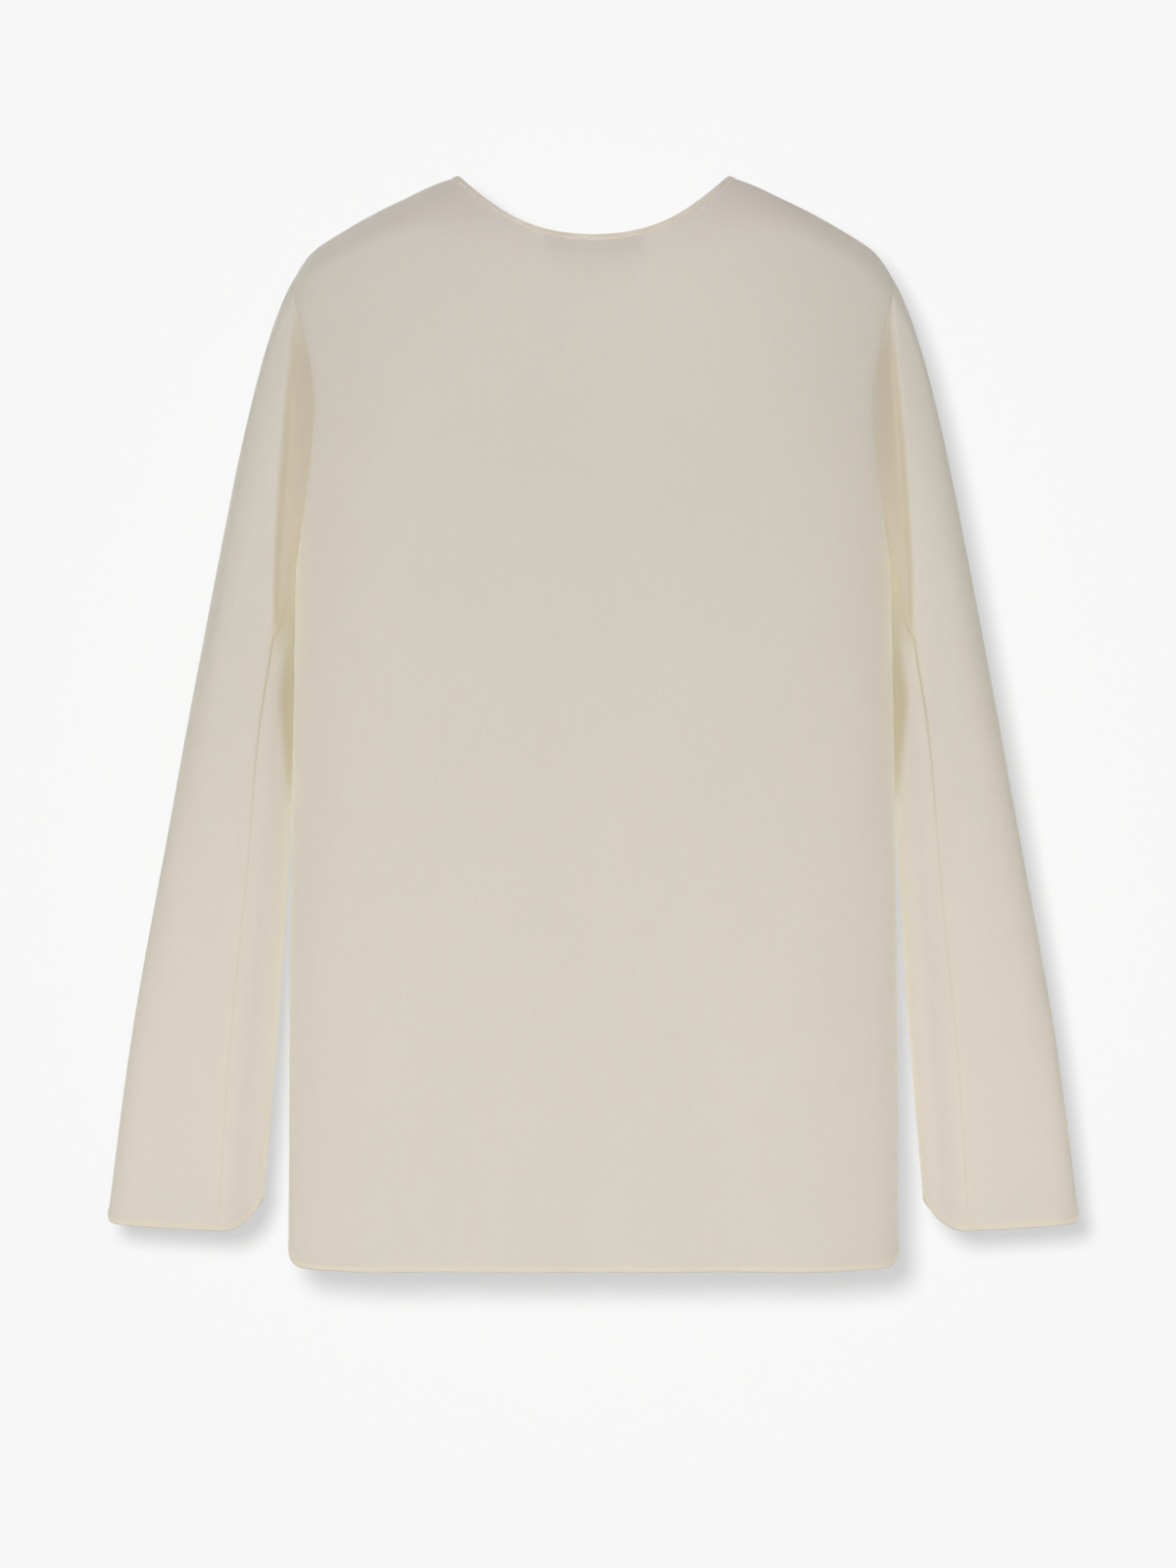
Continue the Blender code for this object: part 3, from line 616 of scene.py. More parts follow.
# Stations of the rows: close together over the hem and before the neck seam, even between
def panelStations():
    hem = np.arange(cloth["hemRows"] + 1) * cloth["hemRowStep"] / (body["underarmZ"] - body["hemZ"])
    side = np.linspace(hem[-1], 1, body["sideRows"] + 1)[1:]
    arm = np.linspace(1, 2, body["armholeRows"] + 1)[1:]
    share = np.linspace(0, 1, body["shoulderRows"] + 1)[1:]
    return np.concatenate([hem, side, arm, 2 + share + body["neckCrowding"] * np.sin(math.pi * share)])


stations = panelStations()
onArmhole = (stations >= 1) & (stations <= 2)


# Points on the body's upright axis, a little lower than the given ones
def belowCentre(grid):
    return grid * (0, 0, 1) - (0, 0, 0.05)


# Rows are laid out evenly on the +X half and mirrored, and each half takes the depth of its own folds
def panelGrid(panel):
    out = 1 - (1 - np.linspace(0, 1, body["closePoints"])) ** 4
    share = np.linspace(0, 1, body["halfColumns"] + 1)
    half = evenRows(bodyPoint(panel, stations[:, None] + 0 * out, out[None, :]),
                    share + body["crowding"] * np.sin(math.pi * share))
    grid = np.concatenate([half[:, ::-1] * (-1, 1, 1), half[:, 1:]], axis=1)
    inner = grid[:, 1:-1]
    inner[..., 1] = panel["side"] * bodyDepth(panel, inner[..., 0], inner[..., 2])
    halfWidth = body["sections"][0, 1]
    lift = cornerLift(halfWidth - np.abs(grid[..., 0]), body["hemCorner"])
    grid[..., 2] += lift * np.clip(1 - (grid[..., 2] - body["hemZ"]) / body["cornerFade"], 0, 1) ** 2
    return grid, outwardNormals(grid, belowCentre(grid))


for panel in (backPanel, frontPanel):
    panel["grid"], panel["normals"] = panelGrid(panel)
print("scene: panels laid out")

# Sleeves

sleeve = {
    # middle height, inner x, outer x, middle y, half depth, tilt in degrees, squareness, lean
    "sections": np.array([
        (-0.686, 0.2190, 0.3190, -0.019, 0.0340, 3.0, 3.5, 0.22),
        (-0.557, 0.2078, 0.3004, -0.009, 0.0395, 7.0, 3.5, 0.20),
        (-0.442, 0.1997, 0.2783, -0.001, 0.0465, 10.0, 3.5, 0.16),
        (-0.365, 0.1963, 0.2637, 0.003, 0.0525, 11.0, 3.3, 0.13),
        (-0.300, 0.1962, 0.2512, 0.004, 0.0570, 12.0, 3.0, 0.10),
    ]),
    # how the cloth leaves the armhole seam at its top, at its sides and underneath, and how it arrives
    "leavesTop": (0.54, 0.0, -0.84), "leavesSide": (0.86, -0.20, -0.46), "leavesUnder": (0.35, 0.0, -0.94),
    "arrives": (0.19, 0.0, -0.98), "reachStart": 0.17, "reachEnd": 0.38,
    # fold along the armhole seam: z, x of its lip, how deep the cloth lies beside it
    "lip": np.array([
        (-0.335, 0.2050, 0.0000), (-0.303, 0.2050, 0.0040), (-0.272, 0.2048, 0.0090),
        (-0.247, 0.2041, 0.0115), (-0.222, 0.2029, 0.0125), (-0.190, 0.2012, 0.0125),
        (-0.146, 0.1979, 0.0100), (-0.107, 0.1940, 0.0050), (-0.078, 0.1940, 0.0000),
    ]),
    "lipShareInFront": 0.6, "lipRiseShare": 0.3,
    # painted shade in the fold and the wedge: z of the fold's ends and over what height it fades, the fold's
    # shade, and over what share of the way in from the lip it grows. Then z of the wedge's top, widest place
    # and point. The wedge starts a little beyond the side of the body
    "foldEnds": (-0.318, -0.085), "foldFades": (0.030, 0.040), "foldShade": 0.66, "foldLip": 0.16,
    "wedgeEnds": (-0.266, -0.342, -0.420), "wedgeWidth": 0.0076, "wedgeStart": 0.0035, "wedgeFade": 0.0056,
    # shade on the side next to the body: z where it starts to spread and over what height, its least, and
    # how wide it is there. On the way round it grows over the first share, and from the second share on it
    # goes over the third. Down from the armhole it starts at the first distance and grows over the second
    "innerShade": 0.66, "shadeFrom": -0.400, "shadeSpread": 0.18, "shadeLeast": 0.25, "shadeWidth": 0.024,
    "shadeRound": (0.05, 0.36, 0.12), "shadeTop": (0.015, 0.040),
    # underarm seam: how far down the sleeve, in rows' own measure, and its turn
    "seamTurn": np.array([
        (0.0, 3.1416), (0.35, 2.80), (0.7, 2.38), (1.0, 2.17), (1.075, 2.03), (1.15, 1.92), (1.33, 1.86),
        (1.66, 1.81), (2.0, 1.865),
    ]),
    # how much the columns crowd at the underarm seam, and the cap's rows at the armhole
    "columns": 180, "seamCrowding": 0.10, "capRows": 64, "capCrowding": 0.13, "tubeRows": 112,
    "seamDepth": 0.0004, "seamWidth": 0.0030,
    "creaseFades": (0.010, 0.020),    # within these of the underarm seam and the armhole the creases fade
    # strength of the painted shade along each seam's groove
    "seamShade": {"underarm": 1.00, "armhole": 0.42},
    # where the underarm seam flattens, over what length, and how much of its depth and painted shade it
    # loses
    "seamFlattens": (0.06, 0.18, 0.70, 0.94),
    # width and height of the rounding at both sides of the cuff, and how far up it moves the cloth
    "cuffCorner": {"inner": (0.0250, 0.0240), "outer": (0.0045, 0.0045)}, "cornerFade": 0.09,
    "flat": (0.320, 0.640), "area": 0.160,
    # creases: way round and z of both ends, half width, rise, lean. The way round is the turn times a radius
    "creaseRadius": 0.045,
    "left": [
        (0.085, -0.300, 0.062, -0.392, 0.0075, -0.0011, 0.2),
        (0.060, -0.385, 0.085, -0.470, 0.0080, -0.0012, 0.1),
        (0.052, -0.430, 0.076, -0.520, 0.0090, 0.0009, -0.2),
        (0.030, -0.560, 0.040, -0.680, 0.0080, 0.0008, 0.0),
        (0.230, -0.330, 0.262, -0.425, 0.0080, -0.0013, -0.1),
        (0.205, -0.400, 0.235, -0.500, 0.0085, -0.0012, 0.1),
        (0.190, -0.460, 0.215, -0.560, 0.0090, 0.0010, 0.2),
        (0.160, -0.390, 0.175, -0.500, 0.0090, -0.0012, 0.1),
    ],
    "right": [
        (0.088, -0.310, 0.060, -0.380, 0.0080, -0.0010, 0.1),
        (0.058, -0.396, 0.088, -0.486, 0.0085, -0.0012, 0.1),
        (0.048, -0.446, 0.070, -0.540, 0.0085, 0.0009, -0.1),
        (0.026, -0.580, 0.036, -0.685, 0.0085, 0.0008, 0.1),
        (0.226, -0.345, 0.258, -0.450, 0.0085, -0.0012, -0.1),
        (0.200, -0.420, 0.232, -0.530, 0.0080, -0.0012, 0.2),
        (0.188, -0.480, 0.210, -0.590, 0.0090, 0.0010, 0.1),
        (0.158, -0.400, 0.172, -0.520, 0.0085, -0.0011, 0.1),
    ],
}


# Armhole seam on +X by turn: 0 at the shoulder tip, a half turn under the arm, going down behind
def armholePoint(turn):
    turn = np.mod(turn, 2 * math.pi)
    station = 2 - np.minimum(turn, 2 * math.pi - turn) / math.pi
    back, front = (bodyPoint(panel, station, 1.0) for panel in (backPanel, frontPanel))
    return np.where((turn <= math.pi)[..., None], back, front)


# Section of the sleeve: a superellipse, leaning towards the body behind, tilted about Y
def sleeveRing(height, turn):
    innerX, outerX, midY, halfDepth, tilt, square, lean = (
        curveThrough(sleeve["sections"], column, height) for column in range(1, 8)
    )
    tilt = np.radians(tilt)
    halfWidth = (outerX - innerX) / 2 / np.cos(tilt)
    cosine, sine = np.cos(turn), np.sin(turn)
    reach = (np.abs(cosine) ** square + np.abs(sine) ** square) ** (-1 / square)
    out = halfWidth * (reach * cosine - lean * np.clip(sine, 0, 1) ** 2)
    x = (innerX + outerX) / 2 + out * np.cos(tilt)
    return np.stack([x, midY + halfDepth * reach * sine, height + out * np.sin(tilt)], axis=-1)


# From the armhole seam to the first section, each place round follows one cubic Bezier curve
def capPoint(share, turn):
    up, under = (np.clip(sign * np.cos(turn), 0, 1)[..., None] ** 1.5 for sign in (1, -1))
    facing = np.stack([np.ones_like(turn), np.sign(np.sin(turn) + 1e-9), np.ones_like(turn)], axis=-1)
    leaves = (up * np.array(sleeve["leavesTop"]) + under * np.array(sleeve["leavesUnder"])
              + (1 - up - under) * np.array(sleeve["leavesSide"]) * facing)
    start, end = armholePoint(turn), sleeveRing(sleeve["sections"][-1, 0] + 0 * turn, turn)
    span = np.linalg.norm(end - start, axis=-1, keepdims=True)
    first = start + unitVectors(leaves) * sleeve["reachStart"] * span
    last = end - unitVectors(np.array(sleeve["arrives"])) * sleeve["reachEnd"] * span
    share = share[..., None]
    rest = 1 - share
    return rest**3 * start + 3 * rest**2 * share * first + 3 * rest * share**2 * last + share**3 * end


# The cloth between the lip and the armhole seam lies sunk, deepest beside the lip
def pressFold(grid):
    x, y, z = np.moveaxis(grid, -1, 0)
    lipX, seamX = curveThrough(sleeve["lip"], 1, z), curveThrough(body["armhole"], 1, z)
    inward = (lipX - x) / np.maximum(lipX - seamX, 0.004)
    within = (z > sleeve["lip"][0, 0]) & (z < sleeve["lip"][-1, 0])
    sink = np.where(within, curveThrough(sleeve["lip"], 2, z), 0.0)
    sink = sink * smoothStep(inward / sleeve["lipRiseShare"]) * (1 - np.clip(inward, 0, 1))
    sink = sink * smoothStep(np.abs(y) / 0.030) * np.where(y > 0, 1.0, sleeve["lipShareInFront"])
    return grid - np.stack([0 * x, np.sign(y) * sink, 0 * x], axis=-1)


# Length left to the cuff, along each column
def leftToCuff(grid):
    length = runningLength(grid, 0)
    return length[-1:] - length


# The +X sleeve, cut open along the underarm seam. Rows run from the armhole seam to the cuff
def sleeveGrid():
    share = np.linspace(0, 1, sleeve["columns"] + 1)
    share = share - sleeve["seamCrowding"] * np.sin(2 * math.pi * share)
    capShare = np.linspace(0, 1, sleeve["capRows"] + 1)[:-1]
    capShare = capShare - sleeve["capCrowding"] * np.sin(math.pi * capShare)
    top, cuff = sleeve["sections"][-1, 0], sleeve["sections"][0, 0]
    hem = np.arange(cloth["hemRows"], -1, -1) * cloth["hemRowStep"]
    heights = np.concatenate([np.linspace(top, cuff + hem[0], sleeve["tubeRows"] + 1)[:-1], cuff + hem])
    measure = np.concatenate([capShare, 1 + (top - heights) / (top - cuff)])
    turn = curveThrough(sleeve["seamTurn"], 1, measure)[:, None] + 2 * math.pi * share[None, :]
    capCount = len(capShare)
    cap = capPoint(capShare[:, None] + 0 * turn[:capCount], turn[:capCount])
    tube = sleeveRing(heights[:, None] + 0 * turn[capCount:], turn[capCount:])
    grid = pressFold(np.concatenate([cap, tube]))
    grid[0] = armholePoint(turn[0])
    ends, corner = sleeve["sections"][0], sleeve["cuffCorner"]
    cuffX = grid[-1, :, 0].copy()
    inner = cornerLift(grid[..., 0] - cuffX.min(), corner["inner"])
    outer = cornerLift(cuffX.max() - grid[..., 0], corner["outer"])
    fading = np.clip(1 - leftToCuff(grid) / sleeve["cornerFade"], 0, 1) ** 2
    leans = (ends[1] - sleeve["sections"][1, 1]) / (ends[0] - sleeve["sections"][1, 0])
    grid[..., 0] += inner * fading * leans
    grid[..., 2] += (inner + outer) * fading
    return grid, turn


sleeve["grid"], sleeve["turn"] = sleeveGrid()
sleeve["normals"] = outwardNormals(sleeve["grid"], sleeve["grid"].mean(axis=1, keepdims=True))
# both edges of the underarm seam take the same normals, or the groove would split
edgeNormal = unitVectors(sleeve["normals"][:, 0] + sleeve["normals"][:, -1])
sleeve["normals"][:, 0] = sleeve["normals"][:, -1] = edgeNormal
print("scene: sleeves laid out")


# Normals along the armhole seam, halfway between the panels' and the sleeve's, so that both sink the
# same way. Returns them by turn, at even steps
def armholeNormals():
    steps = np.linspace(0, 2 * math.pi, 241)[:-1]
    known = [(2 - stations[onArmhole][::-1]) * math.pi, stations[onArmhole] * math.pi]
    found = [backPanel["normals"][onArmhole, -1][::-1], frontPanel["normals"][onArmhole, -1]]
    panelPart = readAlong(steps, np.concatenate(known), np.concatenate(found))
    turns = np.mod(sleeve["turn"][0, :-1], 2 * math.pi)
    order = np.argsort(turns)
    sleevePart = readAlong(steps, turns[order], sleeve["normals"][0, :-1][order], 2 * math.pi)
    shared = unitVectors(unitVectors(panelPart) + unitVectors(sleevePart))
    for _ in range(24):
        shared = unitVectors(np.roll(shared, 1, axis=0) + 2 * shared + np.roll(shared, -1, axis=0))
    return steps, shared


armholeSteps, armholeShared = armholeNormals()


# The shared normal at any turn, between those at the even steps
def armholeNormal(turn):
    return unitVectors(readAlong(np.mod(turn, 2 * math.pi), armholeSteps, armholeShared, 2 * math.pi))


# Along the side and shoulder seams both panels take the normal that lies in the plane between them
sharedEdge = unitVectors((backPanel["normals"][:, -1] + frontPanel["normals"][:, -1]) * (1, 0, 1))
for panel in (backPanel, frontPanel):
    edge = sharedEdge.copy()
    turns = (2 - stations) * math.pi if panel["side"] == behind else stations * math.pi
    edge[onArmhole] = armholeNormal(turns[onArmhole])
    panel["edgeNormals"] = edge


# Depth of the armhole seam by turn: it hardly sinks at the shoulder tip
def armholeDepth(turn):
    fromTip = 0.5 - 0.5 * np.cos(turn)
    depths = body["seamDepth"]
    return depths["tip"] + (depths["armhole"] - depths["tip"]) * smoothStep(fromTip / 0.25)


# How far a seam's edge moves to part from its neighbour: square to the seam and to the seam's normal,
# towards the piece's own cloth
def awayFromSeam(edge, beside, normals):
    along = np.gradient(edge, axis=0)
    return squareOff(squareOff(beside - edge, along), normals) * cloth["seamGap"]


# Where the cloth lies double: over the turned up hem, and faintly over the seam allowances
def doubledCloth(toSeam, fromHem):
    hem = smoothStep((cloth["hemWidth"] * 1.08 - fromHem) / 0.0008)
    return np.maximum(hem, 0.25 * smoothStep((cloth["allowance"] * 1.1 - toSeam) / 0.0015))


# Painted shade along a seam's groove: strong at the edge and gone within a millimetre
def seamGrooveShade(toSeam, strength):
    return strength * bell(toSeam, cloth["grooveShadeReach"])


# Turns the seam allowances in along both side edges of a grid: rows straight in along the edge's normal
def turnInSides(shape, normals, u, v):
    inward = np.array(cloth["allowanceRows"]) * cloth["allowance"]
    left = [shape[:, 0] - normals[:, 0] * step for step in inward[::-1]]
    right = [shape[:, -1] - normals[:, -1] * step for step in inward]
    shape = np.concatenate([np.stack(left, axis=1), shape, np.stack(right, axis=1)], axis=1)
    normals, v = (
        np.concatenate([part[:, :1]] * 2 + [part] + [part[:, -1:]] * 2, axis=1) for part in (normals, v)
    )
    u = np.concatenate([u[:, :1] - inward[::-1], u, u[:, -1:] + inward], axis=1)
    return shape, normals, u, v


# The hem's cloth, turned up inside, for a grid whose first row is the hem's edge: three rows, from the
# turned up end to just inside the edge, each in from the cloth beside it
def turnedUpHem(shape, normals):
    fold = cloth["hemFold"]
    return np.stack([shape[6] - normals[6] * (fold + cloth["hemRise"]),
                     shape[1] - normals[1] * (fold + 0.0002),
                     shape[0] - normals[0] * fold * 0.5 - (0, 0, 0.0003)])


label = {
    "halfWidth": 0.031, "stations": (2.94, 2.62), "offset": 0.0017, "hang": 0.0014, "curl": 0.0009,
    "columns": 62, "rows": 34, "thickness": 0.0004, "flat": (0.062, 0.032),
    # how strongly it shows through the back as painted shade, z of its lower edge there and how far that
    # edge fades, and how far its sides reach and fade
    "shade": 0.58, "shadeBottom": -0.0660, "shadeFade": 0.0140, "shadeMargin": 0.0010, "sideFade": 0.0030,
}


# Painted shade of the label seen through the back: full over it, fading below, where it hangs away
def labelBehind(x, z):
    across = smoothStep((label["halfWidth"] + label["shadeMargin"] - np.abs(x)) / label["sideFade"])
    return label["shade"] * across * smoothStep((z - label["shadeBottom"]) / label["shadeFade"])


# Back and front

# Painted shade beside the side seam, where the sleeve hangs close: full next to the seam, fading out from it
def underArmShade(kind, toSeam, z):
    under = body["underArm"]
    bottom, lastStation, amount, reach, fade = under[kind]
    fromTop = smoothStep((under["top"] - z) / under["topFade"])
    height = fromTop * smoothStep((z - bottom) / under["bottomFade"])
    return amount * height * (stations <= lastStation)[:, None] * smoothStep((reach - toSeam) / fade)


# Tones of a panel: doubled at hem and allowances, painted shade along the seam grooves and under the arm,
# and painted shade beside the sleeve and over the label. Of two that meet, the stronger shows
def panelTones(panel, toSeam, fromHem, x, z):
    lines = body["seamShade"]
    strength = byStretch(stations, lines["side"], lines["armhole"], lines["shoulder"])[:, None]
    behindLabel = labelBehind(x, z) * (panel["side"] == behind)
    return {
        "layers": doubledCloth(toSeam, fromHem),
        "occlusion": np.maximum(seamGrooveShade(toSeam, strength), underArmShade("occlusion", toSeam, z)),
        "shaded": np.maximum(underArmShade("shaded", toSeam, z), behindLabel),
    }


# Dresses a panel. Its seams, creases and rolled hem are heights over the outer face, added up and laid on
# along normals that turn to the seam's own near it. Allowances and hem are then turned in
def dressPanel(name, panel):
    grid, normals = panel["grid"], panel["normals"]
    x, z = grid[..., 0], grid[..., 2]
    across, up = runningLength(grid, 1), runningLength(grid, 0)
    middle = [body["halfColumns"]]
    u = across - across[:, middle]
    v = up[:, middle] * 0.35 + up * 0.65    # between the way up the middle and each column's own

    # nearest seam: what is left of the row, times the sine of the angle at which it meets the seam
    seamLine = grid[:, -1]
    meets = unitVectors(grid[:, -1] - grid[:, -5])
    climbs = unitVectors(np.gradient(seamLine, axis=0))
    sine = np.linalg.norm(np.cross(meets, climbs), axis=-1)[:, None]
    toSeam = np.minimum(across, across[:, -1:] - across) * np.maximum(sine, 0.35)
    alongSeam = runningLength(seamLine[None], 1)[0][:, None] + 0 * toSeam

    depths = body["seamDepth"]
    arm = armholeDepth(np.abs(2 - stations) * math.pi)
    depth = byStretch(stations, depths["side"], arm, depths["shoulder"])[:, None]
    phase = panel["wavePhase"] + 1.3 * (u < 0)
    rise = seamRise(toSeam, alongSeam, depth, body["seamWidth"], phase)
    rise = rise + creaseRise(panel["creases"], x, z) * smoothStep(toSeam / body["creaseFade"])
    rise = rise + hemRise(up) - cloth["dent"] * bell(up[-1:] - up, 0.003)    # it dips under the binding

    hold = bell(toSeam, cloth["seamHold"])[..., None]
    mirrored = panel["edgeNormals"][:, None] * np.where(u[..., None] < 0, (-1, 1, 1), (1, 1, 1))
    normals = unitVectors(normals * (1 - hold) + mirrored * hold)
    shaped = grid + normals * rise[..., None]
    for column, beside in ((0, 1), (-1, -2)):
        shaped[:, column] += awayFromSeam(shaped[:, column], shaped[:, beside], normals[:, column])

    shaped, normals, u, v = turnInSides(shaped, normals, u, v)
    shaped = np.concatenate([turnedUpHem(shaped, normals), shaped])
    normals, u = (np.concatenate([part[:3], part]) for part in (normals, u))
    v = np.concatenate([v[:1] - drop for drop in cloth["hemSpread"]] + [v])
    tones = panelTones(panel, toSeam, up, x, z)
    tones = {kind: np.pad(tone, ((3, 0), (2, 2)), mode="edge") for kind, tone in tones.items()}
    made = clothPiece(name, shaped, normals, u, v, silk, cloth["thickness"], tones=tones)
    return made, shaped, normals


blouseBack, backShape, backNormals = dressPanel("blouseBack", backPanel)
blouseFront, frontShape, frontNormals = dressPanel("blouseFront", frontPanel)
print("scene: back and front made")

# Sleeves dressed

# Painted shade where the sleeve lies in the fold beside the armhole, deepest at the lip, and where it is
# tucked close beside the body below: a long wedge that is widest halfway down
def sleeveFoldShade(x, y, z):
    lipX, seamX = curveThrough(sleeve["lip"], 1, z), curveThrough(body["armhole"], 1, z)
    inward = (lipX - x) / np.maximum(lipX - seamX, 0.004)
    (low, high), (lowFade, highFade) = sleeve["foldEnds"], sleeve["foldFades"]
    tall = smoothStep((z - low) / lowFade) * smoothStep((high - z) / highFade)
    fromLip = smoothStep(inward / sleeve["foldLip"]) * (1 - 0.08 * np.clip(inward, 0, 1))
    fold = sleeve["foldShade"] * tall * fromLip
    top, widest, bottom = sleeve["wedgeEnds"]
    taper = np.minimum((top - z) / (top - widest), (z - bottom) / (widest - bottom))
    width = sleeve["wedgeWidth"] * np.clip(taper, 0, 1)
    inside = curveThrough(body["sections"], 1, z) + sleeve["wedgeStart"] + width - x
    wedge = smoothStep((inside - 0.0010) / sleeve["wedgeFade"]) * (width > 0)
    return np.maximum(fold, wedge) * (y > -0.02)


# Shade on the side next to the body, from the underarm seam a third of the way round: full at the inner
# edge all the way down, and away from it only where the sleeve hangs free
def sleeveShade(x, z, turn, down):
    onward = (turn - turn[:, :1]) / (2 * math.pi)
    least, (grows, goesFrom, goes) = sleeve["shadeLeast"], sleeve["shadeRound"]
    spread = least + (1 - least) * smoothStep((sleeve["shadeFrom"] - z) / sleeve["shadeSpread"])
    fromInner = x - curveThrough(sleeve["sections"], 1, z)
    spread = spread + (1 - spread) * (1 - smoothStep(fromInner / sleeve["shadeWidth"]))
    innerHalf = smoothStep(onward / grows) * (1 - smoothStep((onward - goesFrom) / goes))
    top, topFade = sleeve["shadeTop"]
    return sleeve["innerShade"] * spread * innerHalf * smoothStep((down - top) / topFade)


# Dresses the +X sleeve, and mirrors it where the hand is -1. Heights are added up as on the panels, and
# the underarm seam's groove grows flat down the sleeve
def dressSleeve(name, hand, creases):
    grid, normals, turn = sleeve["grid"], sleeve["normals"], sleeve["turn"]
    x, y, z = np.moveaxis(grid, -1, 0)
    around, down = runningLength(grid, 1), runningLength(grid, 0)
    toUnderarm, toCuff = np.minimum(around, around[:, -1:] - around), leftToCuff(grid)
    alongUnderarm, alongArmhole = down[:, :1] + 0 * around, around[:1] + 0 * around
    start, over, depthLoss, shadeLoss = sleeve["seamFlattens"]
    lost = smoothStep((down[:, :1] / 2 + down[:, -1:] / 2 - start) / over)
    depth = sleeve["seamDepth"] * (1 - depthLoss * lost)
    rise = seamRise(toUnderarm, alongUnderarm, depth, sleeve["seamWidth"], 0.4 + hand)
    rise = rise + seamRise(down, alongArmhole, armholeDepth(turn[:1]), body["seamWidth"], 1.9 + hand)
    besideUnderarm, besideArmhole = sleeve["creaseFades"]
    fade = smoothStep(toUnderarm / besideUnderarm) * smoothStep(down / besideArmhole)
    rise = rise + creaseRise(creases, np.mod(turn, 2 * math.pi) * sleeve["creaseRadius"], z) * fade
    rise = rise + hemRise(toCuff)

    hold = bell(down, cloth["seamHold"])[..., None]
    normals = unitVectors(normals * (1 - hold) + (armholeNormal(turn[0])[None] + 0 * normals) * hold)
    shaped = grid + normals * rise[..., None]
    shaped[0] = armholePoint(turn[0]) - normals[0] * armholeDepth(turn[0])[:, None]
    shaped[0] += awayFromSeam(shaped[0], shaped[2], normals[0])
    for column, beside in ((0, 1), (-1, -2)):
        shaped[1:, column] += awayFromSeam(shaped[1:, column], shaped[1:, beside], normals[1:, column])

    shaped, normals, u, v = turnInSides(shaped, normals, around, -down)
    inward = np.array(cloth["allowanceRows"])[::-1] * cloth["allowance"]
    above = np.stack([shaped[0] - normals[0] * step for step in inward])
    shaped = np.concatenate([above, shaped, turnedUpHem(shaped[::-1], normals[::-1])[::-1]])
    normals, u = (np.concatenate([part[:1]] * 2 + [part] + [part[-1:]] * 3) for part in (normals, u))
    below = [v[-1:] - drop for drop in cloth["hemSpread"][::-1]]
    v = np.concatenate([v[:1] + step for step in inward] + [v] + below)
    lines = sleeve["seamShade"]
    seamShades = np.maximum(seamGrooveShade(toUnderarm, lines["underarm"] - shadeLoss * lost),
                           seamGrooveShade(down, lines["armhole"]))
    tones = {
        "layers": doubledCloth(np.minimum(toUnderarm, down), toCuff),
        "occlusion": np.maximum(seamShades, sleeveFoldShade(x, y, z)),
        "shaded": sleeveShade(x, z, turn, down),
    }
    tones = {kind: np.pad(tone, ((2, 3), (2, 2)), mode="edge") for kind, tone in tones.items()}
    shaped, normals = shaped * (hand, 1, 1), normals * (hand, 1, 1)
    made = clothPiece(name, shaped, normals, u, v, silk, cloth["thickness"], tones=tones)
    return made, shaped, normals


sleeveLeft, leftShape, leftNormals = dressSleeve("sleeveLeft", 1, sleeve["left"])
sleeveRight, rightShape, rightNormals = dressSleeve("sleeveRight", -1, sleeve["right"])
print("scene: sleeves made")

# Neck binding

binding = {
    "halfWidth": 0.0020, "halfThickness": 0.00100, "lift": -0.00022, "rise": 0.0016,
    "tipDrop": 0.0006, "lipDegrees": 172, "square": 4.2, "sectionPoints": 24, "loopPoints": 620,
    "pucker": 0.00007, "thickness": 0.00035,
    "flat": (0.010, 0.590), "area": 0.0052,
}


# The neck edge as one loop: back from right to left, then front back again, with the way the cloth
# climbs to it and its normal
def neckLoop():
    back, front = (
        np.concatenate([panel["grid"][-1], unitVectors(panel["grid"][-1] - panel["grid"][-3]),
                        panel["normals"][-1]], axis=1)
        for panel in (backPanel, frontPanel)
    )
    tip = len(back) - 1
    joined = np.concatenate([back[:-1], front[::-1][:-1]])
    joined[0, 3:] = (back[0, 3:] + front[0, 3:]) / 2
    joined[tip, 3:] = (back[-1, 3:] + front[-1, 3:]) / 2
    closed = np.concatenate([joined, joined[:1]])
    length = runningLength(closed[None, :, :3], 1)[0]
    at = np.linspace(0, length[-1], binding["loopPoints"], endpoint=False)
    loop = readAlong(at, length, closed)
    # smoothed round and round, its places less often than its directions
    for step in range(36):
        part = slice(0, 9) if step < 12 else slice(3, 9)
        held = loop[:, part]
        loop[:, part] = (np.roll(held, 1, axis=0) + 2 * held + np.roll(held, -1, axis=0)) / 4
    middle, climb = loop[:, :3], unitVectors(loop[:, 3:6])
    return at, middle, climb, squareOff(loop[:, 6:], climb), length[-1], length[tip]


# Section of the strip: most of a superellipse, open below, where the cloth of the neck goes in. The bias
# cloth puckers in slanting waves, and sinks a little at the two tips of the shoulder seams
def bindingSection(at, angle):
    cosine, sine = np.cos(angle), np.sin(angle)
    power = 2 / binding["square"]
    up = binding["rise"] + binding["halfWidth"] * np.sign(cosine) * np.abs(cosine) ** power
    out = binding["lift"] + binding["halfThickness"] * np.sign(sine) * np.abs(sine) ** power
    slant = at + up * 0.8
    waves = np.sin(slant / 0.00106 + 1.4 * np.sin(slant / 0.0097)) + 0.8 * np.sin(slant / 0.00183)
    toTip = np.minimum(np.minimum(at, loopLength - at), np.abs(at - tipAt))
    up = up + 0.00010 * np.sin(at / 0.0083) - binding["tipDrop"] * bell(toTip, 0.007)
    return up, out + binding["pucker"] * waves * np.sign(sine) * np.abs(sine) ** 2


# Carries places and directions of the section round the loop
def roundLoop(up, out):
    return loopClimb[:, None] * up[..., None] + loopLift[:, None] * out[..., None]


